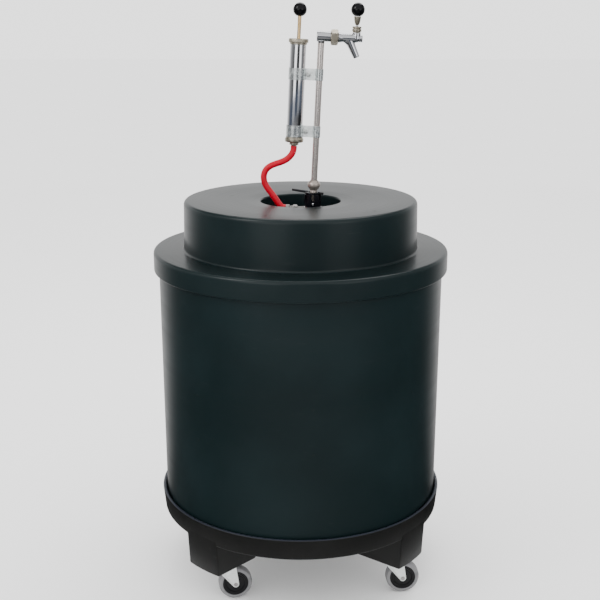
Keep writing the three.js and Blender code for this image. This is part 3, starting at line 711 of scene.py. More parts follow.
class Bench:
    """Turns meshes into pieces of the cooler: named, dressed and riding on their body."""

    def __init__(self) -> None:
        """Keeps each finish's material."""
        self.materials: dict[Look, bpy.types.Material] = {}
        self.count = 0

    def material(self, look: Look) -> bpy.types.Material:
        """The material of a finish, made once."""
        if look not in self.materials:
            self.materials[look] = look.value.make()
        return self.materials[look]

    @staticmethod
    def raw(name: str, mesh: bmesh.types.BMesh, placement: Matrix) -> bpy.types.Object:
        """A plain object from a mesh in millimetres."""
        bmesh.ops.scale(mesh, vec=(MM, MM, MM), verts=mesh.verts)
        data = bpy.data.meshes.new(name)
        mesh.to_mesh(data)
        mesh.free()
        made = bpy.data.objects.new(name, data)
        bpy.context.scene.collection.objects.link(made)
        made.matrix_world = placement
        return made

    def piece(
        self,
        name: str,
        mesh: bmesh.types.BMesh,
        look: Look,
        body: str,
        replaces: Sequence[str] = (),
        placement: Matrix = Matrix.Identity(4),
        sharp: float = 38.0,
    ) -> bpy.types.Object:
        """Finishes one piece.

        Args:
            name: The piece's name.
            mesh: Its mesh, in millimetres, in its own frame.
            look: Its finish.
            body: The body that it rides on.
            replaces: The CAD nodes that it stands for.
            placement: Its own frame, in metres.
            sharp: Edges that turn by more than this many degrees stay sharp.

        Returns:
            The piece.
        """
        made = self.raw(name, mesh, placement)
        self.finish(made, look, body, replaces, sharp)
        return made

    def finish(
        self,
        made: bpy.types.Object,
        look: Look,
        body: str,
        replaces: Sequence[str] = (),
        sharp: float = 38.0,
    ) -> None:
        """Shades, dresses and hands over an object that is in place."""
        if made.type == "MESH":
            made.data.shade_smooth()
            made.data.set_sharp_from_angle(angle=math.radians(sharp))
            made.data.materials.clear()
        made.data.materials.append(self.material(look))
        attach(made, body)
        if replaces:
            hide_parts(*replaces)
        self.count += 1
        LOG.info("%s rides on %s", made.name, body)

    def keep(self, node: str, look: Look) -> None:
        """Dresses a CAD node that stays as it is."""
        kept = FRAME["nodes"][node]
        kept.data.materials.clear()
        kept.data.materials.append(self.material(look))

    @staticmethod
    def cut(base: bpy.types.Object, tool: bmesh.types.BMesh) -> None:
        """Cuts a tool out of an object, both in the object's own frame, and drops the tool."""
        other = Bench.raw("tool", tool, base.matrix_world)
        modifier = base.modifiers.new("cut", "BOOLEAN")
        modifier.operation = "DIFFERENCE"
        modifier.solver = "EXACT"
        modifier.object = other
        Bench.apply(base)
        bpy.data.objects.remove(other)

    @staticmethod
    def apply(made: bpy.types.Object) -> None:
        """Applies an object's modifiers to its mesh."""
        graph = bpy.context.evaluated_depsgraph_get()
        graph.update()
        result = bpy.data.meshes.new_from_object(made.evaluated_get(graph))
        made.modifiers.clear()
        old = made.data
        made.data = result
        bpy.data.meshes.remove(old)


def joint(name: str) -> dict[str, Any]:
    """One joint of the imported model."""
    return next(entry for entry in FRAME["joints"] if entry["name"] == name)


# ---- Dolly ------------------------------------------------------------------------------------


@dataclass
class Dolly:
    """The moulded pan that the barrel stands in, with its four pods."""

    bench: Bench
    turn: float = 4.55
    rim_radius: float = 331.0
    rim_top: float = 207.0
    rim_wall: float = 8.5
    floor: float = 167.7
    foot: float = 159.0
    foot_radius: float = 326.0
    pod_angle: float = 47.5
    pod_width: float = 97.0
    pod_inner: float = 198.0
    pod_foot: float = 84.0
    pod_foot_radius: float = 322.0
    pod_wall: float = 4.5
    mount: float = 95.0
    facets: int = 180

    def build(self) -> None:
        """Makes the pan and the pods."""
        inside = self.rim_radius - self.rim_wall
        lip = self.rim_wall * 0.55
        pan = turned([
            (0, 160, 0), (300, 160, 0), (312, self.foot, 2), (self.foot_radius, self.foot, 4),
            (self.rim_radius, self.rim_top, lip), (inside, self.rim_top, lip),
            (inside - 2.5, self.floor, 5), (0, self.floor, 0),
        ], self.facets, 6)
        placement = Matrix.Rotation(math.radians(self.turn), 4, "Z")
        self.bench.piece("dolly_pan", pan, Look.TRAY, "cooler", ["dolly_tray"])
        for index, angle in enumerate((-self.pod_angle, self.pod_angle, 180 - self.pod_angle,
                                       180 + self.pod_angle)):
            turn = placement @ Matrix.Rotation(math.radians(angle), 4, "Z")
            self.bench.piece(f"dolly_pod_{index + 1}", self._pod(), Look.TRAY, "cooler",
                             placement=turn, sharp=50)

    def _section(self, z: float, inset: float, corner: float) -> Loop:
        """A pod's outline at a height, pulled in by inset."""
        heights = (self.pod_foot, self.foot, self.rim_top)
        reach = np.interp(z, heights, (self.pod_foot_radius, self.foot_radius, self.rim_radius))
        half = self.pod_width / 2 - inset
        outer = reach - inset
        side = math.sqrt(outer**2 - half**2)
        spread = math.degrees(math.asin(half / outer))
        bow = arc(0, 0, outer, -90 - spread, -90 + spread, 10)[1:-1]
        inner = self.pod_inner + inset
        corners = [(-half, -inner, corner), (-half, -side, corner * 0.4)]
        corners += [(x, y, 0) for x, y in bow]
        corners += [(half, -side, corner * 0.4), (half, -inner, corner)]
        return [(x, y, z) for x, y in rounded(corners, True, 4)]

    def _pod(self) -> bmesh.types.BMesh:
        """A pod: its outer wall, its lip and the recess for the caster's plate."""
        foot, wall = self.pod_foot, self.pod_wall
        levels = [(self.foot + 32, 1.0, 9), (self.foot + 10, -0.1, 9), (foot + 40, 0, 9),
                  (foot + 4, 0, 9), (foot + 1.3, 0.6, 9), (foot, 2, 8), (foot, wall - 1.2, 6),
                  (foot + 1, wall, 5), (self.mount, wall, 5)]
        return skin([self._section(*level) for level in levels])


@dataclass
class Caster:
    """One swivel caster: plate, fork, axle, hub and tyre."""

    bench: Bench
    corner: str
    wheel_radius: float = 38.1
    wheel_width: float = 24.0
    hub_radius: float = 29.0
    mount: float = 94.7
    crown_top: float = 82.5
    crown_foot: float = 79.2
    leg_inside: float = 14.2
    leg_sheet: float = 2.5
    leg_end: float = 7.5
    plate_size: Point = (84.0, 57.0)
    trail: float = field(init=False)

    def build(self) -> None:
        """Makes the caster at its place and heading."""
        swivel = joint(f"swivel_{self.corner}")
        roll = joint(f"roll_{self.corner}")
        place = Vector((swivel["pos_m"][0], swivel["pos_m"][1], 0))
        hub = Vector((roll["pos_m"][0], roll["pos_m"][1], 0))
        heading = math.atan2(hub.y - place.y, hub.x - place.x)
        self.trail = math.dist(hub.xy, place.xy) / MM
        fork_frame = Matrix.Translation(place) @ Matrix.Rotation(heading, 4, "Z")
        radial = math.atan2(place.y, place.x)
        plate_frame = Matrix.Translation(place) @ Matrix.Rotation(radial, 4, "Z")
        wheel_frame = Matrix.Translation(Vector(roll["pos_m"])) @ Matrix.Rotation(heading, 4, "Z")
        body, wheel = f"swivel_{self.corner}", f"wheel_{self.corner}"
        for name, node, mesh, look, rides_on, frame in (
            ("plate", "caster_plate", self._plate(), Look.ZINC, "cooler", plate_frame),
            ("fork", "caster_fork", self._fork(), Look.ZINC, body, fork_frame),
            ("axle", "caster_axle", self._axle(), Look.FITTING, body, wheel_frame),
            ("hub", "wheel_hub", self._hub(), Look.WHEEL, wheel, wheel_frame),
            ("tyre", "wheel_tyre", self._tyre(), Look.TYRE, wheel, wheel_frame),
        ):
            self.bench.piece(f"{name}_{self.corner}", mesh, look, rides_on,
                             [f"{node}_{self.corner}"], frame)

    def _plate(self) -> bmesh.types.BMesh:
        """The top plate with its race, kingpin and four bolt heads."""
        half_x, half_y = self.plate_size[0] / 2, self.plate_size[1] / 2
        outline = rounded([(-half_x, -half_y, 7), (half_x, -half_y, 7), (half_x, half_y, 7),
                           (-half_x, half_y, 7)], True)
        sheet = plate(outline, self.mount - 3, self.mount, 0.5)
        race = turned([(0, 82.8, 0), (15, 82.8, 1), (20, 85, 2), (20, 89.5, 2), (23, 91.6, 1),
                       (0, 91.7, 0)], 40)
        pin = turned([(0, 75.8, 0), (6.5, 75.8, 1), (8, 77, 1), (8, 78.9, 0.4), (5.6, 79, 0),
                      (5.6, 83, 0), (0, 83, 0)], 24)
        bolts = []
        for x in (-half_x + 10, half_x - 10):
            for y in (-half_y + 10, half_y - 10):
                head = shaped([(87.4, 5.0), (88.2, 5.8), (91.6, 5.8)], polygon(6, 11.6), 24)
                bolts.append(shifted(head, x, y))
        return together([sheet, race, pin, *bolts])

    def _leg(self) -> list[Point]:
        """A leg's outline in X and Z: a wide top tapering to a round end at the axle."""
        top = self.crown_top
        end = arc(self.trail, self.wheel_radius, self.leg_end, -142, 2, 12)
        return rounded([(-16, top, 1.5), (-16, top - 4, 5), *[(x, z, 0) for x, z in end],
                        (29, top - 4, 4), (29, top, 1.5)], True)

    def _bead(self, side: float) -> bmesh.types.BMesh:
        """The stiffening bead pressed outward along a leg's sloping edge and round its end."""
        depth = side * (self.leg_inside + self.leg_sheet - 0.4)
        end = arc(self.trail, self.wheel_radius, self.leg_end - 1.7, -142, -30, 8)
        line = [(-12.0, self.crown_top - 3.5), *end, (self.trail + 5.4, self.wheel_radius + 8)]
        path = [Vector((x, depth, z)) for x, z in line]
        bits = [rod_between(a, b, (1.3, 1.3), 12) for a, b in zip(path, path[1:])]
        return together(bits)

    def _fork(self) -> bmesh.types.BMesh:
        """The pressed fork: a crown with its race boss, two legs and their beads."""
        outside = self.leg_inside + self.leg_sheet
        crown_outline = rounded([(-19, -outside, 6), (29, -outside, 3), (29, outside, 3),
                                 (-19, outside, 6)], True)
        crown = plate(crown_outline, self.crown_foot, self.crown_top, 0.6)
        boss = ring([(8.6, 76.6, 0.4), (16, 77.6, 1.5), (18, self.crown_foot + 0.2, 0.5),
                     (8.6, self.crown_foot + 0.2, 0)], 32)
        legs = []
        for low in (-outside, self.leg_inside):
            leg = plate(self._leg(), -low - self.leg_sheet, -low, 0.5)
            legs.append(along_y(leg))
        return together([crown, boss, *legs, self._bead(-1), self._bead(1)])

    def _axle(self) -> bmesh.types.BMesh:
        """The axle, peened in front, with a nut behind."""
        face = self.leg_inside + self.leg_sheet + 0.3
        shank = turned([(0, -face - 3.4, 0), (2.6, -face - 3.4, 0.6), (3.8, -face - 3, 0), (3.8, face, 0),
                        (4.8, face, 0.3), (4.4, face + 0.9, 0.7), (1.6, face + 1.3, 0.5),
                        (1.2, face + 0.7, 0.2), (0, face + 0.7, 0)], 32)
        nut = shaped([(-face - 3.2, 5.6), (-face - 2.4, 6.3), (-face, 6.3)], polygon(6, 12.6), 36, 3.9)
        return along_y(together([shank, nut]))

    def _hub(self) -> bmesh.types.BMesh:
        """The hub: a dished web between its boss and its rim on each side."""
        half = self.wheel_width / 2
        side = [(4.3, 13.6, 0.3), (8.6, 13.6, 0.8), (9.6, half - 3.2, 1.0), (20.5, half - 4.2, 1.5),
                (22.5, half - 1.4, 1.2), (25.2, half - 1.4, 0.8), (25.8, half - 0.4, 0.5),
                (self.hub_radius, half - 0.2, 0.6)]
        other = [(r, -z, f) for r, z, f in side]
        return along_y(ring([*other, *reversed(side)], 72, 3))

    def _tyre(self) -> bmesh.types.BMesh:
        """The tyre, with a rounded shoulder and a mould line round each side."""
        half = self.wheel_width / 2
        bed = self.hub_radius + 0.15
        tread = self.wheel_radius - 0.05
        side = [(bed, half, 0.4), (bed + 2.6, half + 0.1, 0.4), (bed + 3.0, half - 0.3, 0.2),
                (bed + 3.4, half + 0.1, 0.4), (tread - 2.4, half - 0.4, 1.6), (tread, half - 4.6, 3.2)]
        other = [(r, -z, f) for r, z, f in side]
        return along_y(ring([*other, *reversed(side)], 96, 4))


# ---- Barrel and lid ---------------------------------------------------------------------------


@dataclass
class Barrel:
    """The insulated barrel: outer skin, foam, liner and the plugs of the foam fill holes."""

    bench: Bench
    foot_radius: float = 320.5
    top_radius: float = 322.7
    foot: float = 168.0
    top: float = 765.0
    skin_wall: float = 5.0
    liner_radius: float = 271.0
    liner_floor: float = 214.0
    liner_wall: float = 4.0
    floor_top: float = 174.0
    liner_foot: float = 210.0
    ledge_foot: float = 757.0
    ledge_top: float = 761.0
    facets: int = 192
    plug_turns: tuple[float, ...] = (-43.4, 4.7, 48.4, 136.6, 184.7, 228.4)
    plug_heights: tuple[float, ...] = (399.0, 500.0)

    def build(self) -> None:
        """Makes the two skins and the plugs, and keeps the foam."""
        inside = self.top_radius - self.skin_wall
        self.bench.piece("barrel_skin", turned([
            (0, self.foot, 0), (300, self.foot, 6), (self.foot_radius, self.foot, 9),
            (self.top_radius, self.top, 2), (inside, self.top, 1),
            (self.foot_radius - 5, self.floor_top, 4), (0, self.floor_top, 0),
        ], self.facets, 6), Look.BARREL, "cooler", ["barrel_shell"])
        outside = self.liner_radius + self.liner_wall
        self.bench.piece("ice_liner", turned([
            (0, self.liner_foot, 0), (outside, self.liner_foot, 12),
            (outside, self.ledge_foot, 0), (inside - 1, self.ledge_foot, 0),
            (inside - 1, self.ledge_top, 1), (self.liner_radius, self.ledge_top, 3),
            (self.liner_radius, self.liner_floor, 10), (0, self.liner_floor, 0),
        ], self.facets, 6), Look.LINER, "cooler", ["barrel_liner"])
        self.bench.keep("barrel_foam", Look.FOAM)
        for row, height in enumerate(self.plug_heights):
            for index, turn in enumerate(self.plug_turns):
                self._plug(f"foam_plug_{row + 1}_{index + 1}", turn, height)

    def _plug(self, name: str, turn: float, height: float) -> None:
        """One plug, a shallow disc in the skin."""
        share = (height - self.foot) / (self.top - self.foot)
        reach = self.foot_radius + (self.top_radius - self.foot_radius) * share
        disc = turned([(0, -1.5, 0), (2.6, -1.5, 0), (2.6, 0.25, 0.4), (0, 0.35, 0)], 20)
        frame = (Matrix.Rotation(math.radians(turn - 90), 4, "Z")
                 @ Matrix.Translation((reach * MM, 0, height * MM))
                 @ Matrix.Rotation(math.radians(90), 4, "Y"))
        self.bench.piece(name, disc, Look.LINER, "cooler", placement=frame)


@dataclass
class Lid:
    """The stepped lid: outer skin, foam and inner skin."""

    bench: Bench
    flange_radius: float = 334.0
    flange_foot: float = 731.0
    flange_top: float = 777.0
    skirt_inside: float = 325.0
    seat: float = 765.3
    tier_foot: float = 265.0
    tier_top: float = 263.0
    top: float = 887.0
    dish: float = 4.5
    hole: float = 90.0
    ceiling: float = 838.0
    wall: float = 5.0
    liner_radius: float = 238.0
    facets: int = 192

    def build(self) -> None:
        """Makes the skins, and keeps the foam."""
        inside = self.tier_top - self.wall
        under = self.top - self.dish - self.wall
        outside = self.hole + self.wall
        self.bench.piece("lid_skin", ring([
            (self.skirt_inside, self.flange_foot, 2), (self.flange_radius, self.flange_foot, 5),
            (self.flange_radius, self.flange_top, 8.5), (self.tier_foot, self.flange_top, 6),
            (self.tier_top, self.top, 10), (200, self.top - 0.8, 30), (130, self.top - 2.6, 30),
            (self.hole, self.top - self.dish, 4), (self.hole, self.ceiling, 1),
            (outside, self.ceiling, 1), (outside, under, 3), (inside, under, 6),
            (inside, self.seat, 0), (self.skirt_inside, self.seat, 3),
        ], self.facets, 7), Look.LID, "lid", ["lid_shell"])
        edge = inside - 0.3
        self.bench.piece("lid_inner_skin", ring([
            (outside + 0.3, self.ceiling, 0), (self.liner_radius, self.ceiling, 8),
            (self.liner_radius, self.seat, 4), (edge, self.seat, 0), (edge, self.seat + 3, 0),
            (self.liner_radius + 3, self.seat + 3, 3), (self.liner_radius + 3, self.ceiling + 3, 8),
            (outside + 0.3, self.ceiling + 3, 0),
        ], self.facets, 5), Look.LINER, "lid", ["lid_liner"])
        self.bench.keep("lid_foam", Look.FOAM)


# ---- Keg and coupler --------------------------------------------------------------------------


@dataclass
class Keg:
    """The half-barrel keg inside: vessel, chimes, valve and spear."""

    bench: Bench
    centre: float = 27.5
    base: float = 214.3
    wall_radius: float = 200.0
    radius: float = 204.5
    height: float = 592.0
    sheet: float = 2.2
    inner_radius: float = 197.8
    rib_heights: Point = (210.0, 382.0)
    hand_hole: Corner = (50.0, 558.0, 576.0)  # half width, foot and head
    hand_hole_round: float = 8.5
    facets: int = 128

    def build(self) -> None:
        """Makes the keg about its own axis."""
        place = Matrix.Translation((self.centre * MM, 0, self.base * MM))
        wall, inner, bench = self.wall_radius, self.inner_radius, self.bench
        ribs = []
        for z in self.rib_heights:
            ribs += [(wall, z - 12, 6), (self.radius, z - 3, 4), (self.radius, z + 3, 4), (wall, z + 12, 6)]
        bench.piece("keg_vessel", turned([
            (0, 18, 0), (120, 26, 60), (178, 46, 40), (wall, 80, 30), *ribs, (wall, 512, 30),
            (178, 546, 40), (120, 566, 40), (32, 574, 5), (32, 584, 1.5), (25.4, 584, 0.5),
            (25.4, 572, 1), (119, 563.8, 40), (177, 542.8, 40), (inner, 511, 30), (inner, 81, 30),
            (177, 49.2, 40), (119.5, 28.2, 60), (0, 20.2, 0),
        ], self.facets, 5), Look.KEG, "cooler", ["keg_shell"], place, 50)
        bore = wall + 0.3
        top = bench.raw("keg_chime_top", ring([
            (bore, 500, 0.5), (bore + self.sheet, 500, 0.8), (bore + self.sheet, 580, 3),
            (self.radius, 584, 2), (self.radius, self.height, 2.0), (bore, self.height, 1.4),
        ], self.facets), place)
        half, foot, head = self.hand_hole
        corner = self.hand_hole_round
        for side in (-1, 1):
            outline = rounded([(-half, foot, corner), (half, foot, corner), (half, head, corner),
                               (-half, head, corner)], True)
            bench.cut(top, along_y(plate(outline, side * 200 - 25, side * 200 + 25)))
        bench.finish(top, Look.KEG, "cooler", ["keg_top_chime"])
        bench.piece("keg_chime_bottom", ring([
            (bore, 0, 1.4), (self.radius, 0, 2), (self.radius, 8, 2), (bore + self.sheet, 12, 2),
            (bore + self.sheet, 92, 0.8), (bore, 92, 0.4),
        ], self.facets), Look.KEG, "cooler", ["keg_bottom_chime"], place)
        bench.piece("keg_neck_valve", ring([
            (6.6, 562, 0), (25, 562, 0.5), (25, 588, 1.5), (17, 588, 0.8), (16, 584.5, 0.8),
            (6.6, 584, 0.5),
        ], 48), Look.KEG, "cooler", ["keg_valve"], place)
        bench.keep("keg_spear", Look.KEG)


@dataclass
class Coupler:
    """The twist coupler on the keg, with its locking collar, bar and gas inlet."""

    bench: Bench
    centre: float = 27.5
    housing_bore: float = 6.4
    foot: float = 802.6
    top: float = 869.0
    collar_foot: float = 869.3
    collar_top: float = 896.4
    collar_radius: float = 18.8
    collar_bore: float = 12.0
    collar_steps: int = 216
    collar_lip: float = 0.8
    ribs: int = 36
    rib_depth: float = 0.55
    slots: int = 6
    slot_half_width: float = 3.2
    slot_reach: float = 15.5
    slot_foot: float = 883.0
    bar_foot: float = 897.0
    bar_top: float = 901.5
    hub_radius: float = 17.5
    hub_bore: float = 10.8
    arm_radii: Point = (2.8, 2.6)
    inlet_height: float = 865.7
    inlet_bore: float = 1.6
    inlet_nut_corners: float = 14.2

    def build(self) -> None:
        """Makes the coupler about its own axis."""
        place = Matrix.Translation((self.centre * MM, 0, 0))
        bench = self.bench
        bench.piece("coupler_housing", ring([
            (self.housing_bore, self.foot, 0.3), (24, self.foot, 1), (24, self.foot + 7, 1.5),
            (17, self.foot + 12, 3), (15.5, 846, 1), (16.5, 858, 2), (20, 861.5, 1.2),
            (20, self.top, 1.2), (self.housing_bore, self.top, 0.5),
        ], 72), Look.CHROME, "cooler", ["coupler_body"], place)
        bench.keep("coupler_probe", Look.CHROME)
        bench.piece("locking_collar", self._collar(), Look.NYLON, "lock", ["coupler_collar"], place, 30)
        bench.piece("twist_bar", self._bar(), Look.NYLON, "lock", ["coupler_bar"], place)
        screw = turned([(0, 17, 0), (2.6, 17, 0), (2.6, 19.6, 0.7), (1.3, 20.7, 0.8), (0, 20.8, 0)], 24)
        bench.piece("collar_set_screw", shifted(along_y(screw), z=876.7), Look.CHROME, "lock",
                    ["collar_screw"], place)
        bench.piece("gas_fitting", self._inlet(), Look.FITTING, "cooler", ["gas_inlet"],
                    Matrix.Translation((0, 0, self.inlet_height * MM)))

    def _collar(self) -> bmesh.types.BMesh:
        """A ribbed collar with six slots in its upper half."""
        outer, bore, lip = self.collar_radius, self.collar_bore, self.collar_lip
        spins = [2 * math.pi * step / self.collar_steps for step in range(self.collar_steps)]
        pitch = 360 / self.slots
        half_slot = math.degrees(math.atan2(self.slot_half_width, self.slot_reach))

        def radius(angle: float) -> float:
            return outer - self.rib_depth * (0.5 + 0.5 * math.cos(self.ribs * angle)) ** 2

        def inset(distance: float) -> Callable[[float], float]:
            return lambda angle: radius(angle) - distance

        def level(z: float) -> Callable[[float], float]:
            return lambda angle: z

        def crown(rise: float) -> Callable[[float], float]:
            high, low = self.collar_top + rise, self.slot_foot + rise / 2
            return lambda angle: low if abs(math.degrees(angle) % pitch - pitch / 2) < half_slot else high

        def loop(reach: Callable[[float], float], height: Callable[[float], float]) -> Loop:
            return [(reach(a) * math.cos(a), reach(a) * math.sin(a), height(a)) for a in spins]

        return skin([
            loop(inset(lip), level(self.collar_foot)),
            loop(inset(0), level(self.collar_foot + lip)),
            loop(inset(0), level(self.slot_foot - 2)),
            loop(inset(0), level(self.slot_foot - 0.4)),
            loop(radius, crown(-lip)),
            loop(inset(lip), crown(0.0)),
            loop(lambda a: bore + lip, crown(0.0)),
            loop(lambda a: bore, crown(-lip)),
            loop(lambda a: bore, level(self.collar_foot)),
        ], True)

    def _bar(self) -> bmesh.types.BMesh:
        """The bar's hub and its two arms."""
        bore, outer = self.hub_bore, self.hub_radius
        hub = ring([(bore, self.bar_foot, 0.5), (outer, self.bar_foot, 1.2),
                    (outer, self.bar_top, 1.4), (bore, self.bar_top, 0.8)], 48)
        left = rod_between((-11.6, 5.5, 900.6), (-46.3, 21.9, 903.5), self.arm_radii, 24)
        right = rod_between((11.5, -5.9, 900.2), (23.4, -11.9, 899.4), self.arm_radii, 24)
        return together([hub, left, right])

    def _inlet(self) -> bmesh.types.BMesh:
        """The gas inlet toward -X: a stub, a hex nut, a bead and the hose's ferrule."""
        start, bore = 20.3 - self.centre, self.inlet_bore
        stub = ring([(bore, start, 0), (3.2, start, 0.2), (3.2, 8, 0.2), (bore, 8, 0)], 32)
        nut = shaped([(7.2, 6.0), (8.2, 7.1), (16.0, 7.1), (17.0, 6.3)],
                     polygon(6, self.inlet_nut_corners), 48, bore)
        neck = ring([(bore, 16.8, 0), (5, 16.8, 0.6), (5.4, 20, 1), (4.4, 21, 0.6), (4.4, 24.6, 0.5),
                     (bore, 24.6, 0)], 36)
        ferrule = ring([(bore, 24.4, 0), (6.0, 24.4, 0.6), (7.2, 25.6, 0.8), (7.2, 28, 0.4),
                        (6.8, 28.6, 0.4), (7.2, 29.2, 0.4), (7.2, 33.4, 0.8), (bore, 33.4, 0)], 48)
        whole = together([stub, nut, neck, ferrule])
        return moved(along_x(whole), Matrix.Rotation(math.pi, 4, "Z"))


# ---- Tap tower --------------------------------------------------------------------------------

KNOB_NECK = 6.3  # radius of the flat under a ball knob


@dataclass
class Tower:
    """The leaning tap rod with its union nut, shank and coupling nut."""

    bench: Bench
    foot: tuple[float, float, float] = (29.6, 0.0, 912.0)
    rod_radius: float = 7.15
    rod_foot: float = 16.6
    shank_height: float = 330.4
    shank_radius: float = 11.15
    shank_ends: Point = (-10.0, 20.5)
    nut_ends: Point = (20.8, 36.2)
    frame: Matrix = field(init=False)

    def __post_init__(self) -> None:
        """Works out the tower's own frame from the pump's joint."""
        lean = Vector(joint("pump_plunger")["axis"])
        angle = math.atan2(lean.x, lean.z)
        place = Matrix.Translation(Vector(self.foot) * MM)
        self.frame = place @ Matrix.Rotation(angle, 4, "Y")

    def build(self) -> None:
        """Makes the rod and its fittings."""
        bench = self.bench
        bench.piece("union", self._union(), Look.UNION, "cooler", ["union_nut"], self.frame, 30)
        rod = turned([(0, self.rod_foot, 0), (self.rod_radius, self.rod_foot, 0.5),
                      (self.rod_radius, self.shank_height - 4, 0), (0, self.shank_height - 4, 0)], 64)
        bench.piece("riser_rod", rod, Look.ROD, "cooler", ["tap_rod"], self.frame)
        left, right = self.shank_ends
        shank = along_x(turned([
            (0, left, 0), (self.shank_radius, left, 1.3), (self.shank_radius, right, 0.8),
            (8.2, right, 0.4), (8.2, left + 5, 0), (0, left + 5, 0),
        ], 64))
        fillet = ring([(self.rod_radius - 0.5, 316.4, 0), (self.rod_radius + 0.1, 316.4, 0.2),
                       (self.rod_radius + 1.5, 321.5, 1), (self.rod_radius - 0.5, 322.5, 0)], 48)
        bench.piece("shank", together([shifted(shank, z=self.shank_height), fillet]), Look.CHROME,
                    "cooler", ["shank_tube"], self.frame)
        bench.piece("coupling", self._coupling(), Look.NICKEL, "cooler", ["coupling_nut"], self.frame, 25)

    def _union(self) -> bmesh.types.BMesh:
        """The union nut: a bulged nut with flats over a tapering stem."""
        stem = ring([(5, -31.5, 0), (7.9, -31.5, 0.6), (7.9, -6, 2), (5, -6, 0)], 48)
        six = polygon(12, 29.6)
        heights = [(-6.4, 7.9), (-5, 8.4), (-2.4, 10.3), (0.6, 12.6), (3.2, 14.1), (4.6, 14.5),
                   (8.2, 14.5), (9.8, 14.0), (12.4, 12.2), (14.4, 10.2), (15.6, 8.8), (16.4, 8.2)]
        nut = shaped(heights, six, 96, 5)
        return together([stem, nut])

    def _coupling(self) -> bmesh.types.BMesh:
        """The hex coupling nut with chamfered ends and a collar toward the faucet."""
        left, right = self.nut_ends
        heights = [(left, 14.6), (left + 1.4, 16.6), (left + 2.2, 17), (right - 2.2, 17),
                   (right - 1.4, 16.6), (right, 14.6)]
        nut = along_x(shaped(heights, polygon(6, 34.0), 96, 7.9))
        return shifted(nut, z=self.shank_height - 0.6)


@dataclass
class Faucet:
    """The beer faucet: body, bonnet, lever, ferrule and knob."""

    bench: Bench
    tower: Tower
    axis_height: float = 329.4
    lever_x: float = 76.0
    pivot: float = 347.0
    knob_height: float = 390.0
    knob_radius: float = 15.0
    spout_top: Point = (62.0, 325.0)
    spout_tip: Point = (79.2, 289.0)

    def build(self) -> None:
        """Makes the faucet in the tower's frame."""
        bench, frame = self.bench, self.tower.frame
        self._body()
        bench.keep("faucet_shaft", Look.CHROME)
        lever_frame = frame @ Matrix.Translation((self.lever_x * MM, 0, 0))
        bench.piece("bonnet", ring([
            (6.3, 341.8, 0), (8.4, 341.8, 0.4), (8.4, 344.0, 0.3), (10.1, 344.4, 0.6),
            (10.1, 349.0, 0.8), (8.4, 349.4, 0.4), (8.4, 350.8, 0.4), (9.8, 351.1, 0.6),
            (9.8, 354.5, 0.9), (7.4, 354.9, 0.3), (6.3, 350, 0),
        ], 64), Look.NICKEL, "cooler", ["faucet_bonnet"], lever_frame)
        ball = arc(0, self.pivot, 5.6, -62, 60, 12)
        lever = turned([(0, 327.5, 0), (1.6, 327.5, 0.5), (2.2, 341.6, 0), *[(x, z, 0) for x, z in ball],
                        (2.8, 353, 0.5), (2.8, 372, 0), (0, 372, 0)], 40)
        bench.piece("lever_stem", lever, Look.CHROME, "tap_lever", ["faucet_lever"], lever_frame)
        bench.piece("ferrule", ring([
            (3.1, 357.8, 0), (3.4, 357.8, 0.2), (4.6, 359.5, 0.6), (5.6, 362, 3), (6.9, 368, 8),
            (7.7, 374, 0.6), (7.7, 376, 0.6), (3.1, 376, 0),
        ], 56), Look.NICKEL, "tap_lever", ["lever_ferrule"], lever_frame)
        knob = knob_mesh(self.knob_radius, self.knob_height, KNOB_NECK, 3.1)
        bench.piece("tap_knob", knob, Look.PHENOLIC, "tap_lever", ["lever_knob"], lever_frame)

    def _body(self) -> None:
        """The cast body: fused from round forms, smoothed, then bored."""
        tail = along_x(turned([
            (0, 21, 0), (7.5, 21, 0.5), (7.5, 36.6, 0), (11.0, 36.6, 0.8), (10.6, 40, 3),
            (9.2, 47, 6), (9.6, 58, 8), (9.8, 72, 6), (8.2, 80.5, 0.5), (0, 80.5, 0),
        ], 64))
        pieces = [
            shifted(tail, z=self.axis_height),
            shifted(turned([(0, 326, 0), (9.0, 326, 2), (9.0, 341.4, 0.8), (0, 341.4, 0)], 48),
                    x=self.lever_x),
            rod_between((self.spout_top[0] - 3, 0, self.spout_top[1] + 4),
                        (self.spout_tip[0], 0, self.spout_tip[1]), (9.5, 6.9), 48),
            rod_between((50, 0, 329), (66, 0, 317), (7.8, 8.0), 40),
        ]
        made = self.bench.raw("faucet_casting", together(pieces), self.tower.frame)
        remesh = made.modifiers.new("fuse", "REMESH")
        remesh.mode = "VOXEL"
        remesh.voxel_size = 0.55 * MM
        smooth = made.modifiers.new("smooth", "SMOOTH")
        smooth.factor = 0.6
        smooth.iterations = 7
        self.bench.apply(made)
        boss = along_x(ring([
            (3.2, 78, 0), (8.0, 78, 0.3), (8.0, 80.4, 0.4), (7.2, 81, 0.3), (7.7, 81.6, 0.4),
            (7.7, 84.2, 0.4), (7.1, 84.8, 0.3), (7.7, 85.4, 0.4), (7.7, 89.4, 0.8), (3.2, 89.4, 0.5),
            (3.2, 87, 0),
        ], 48))
        self.bench.piece("vent_screw", shifted(boss, z=self.axis_height), Look.CHROME, "cooler",
                         placement=self.tower.frame)
        tip_x, tip_z = self.spout_tip
        run = Vector((tip_x - self.spout_top[0], 0, tip_z - self.spout_top[1])).normalized()
        mouth = Vector((tip_x, 0, tip_z)) + run * 2
        inner = mouth - run * 26
        self.bench.cut(made, rod_between(inner, mouth, (4.8, 5.3), 40))
        self.bench.cut(made, shifted(turned([(0, 335, 0), (6, 335, 0), (6, 345, 0), (0, 345, 0)], 32),
                                     x=self.lever_x))
        self.bench.finish(made, Look.CHROME, "cooler", ["faucet_body"], 50)


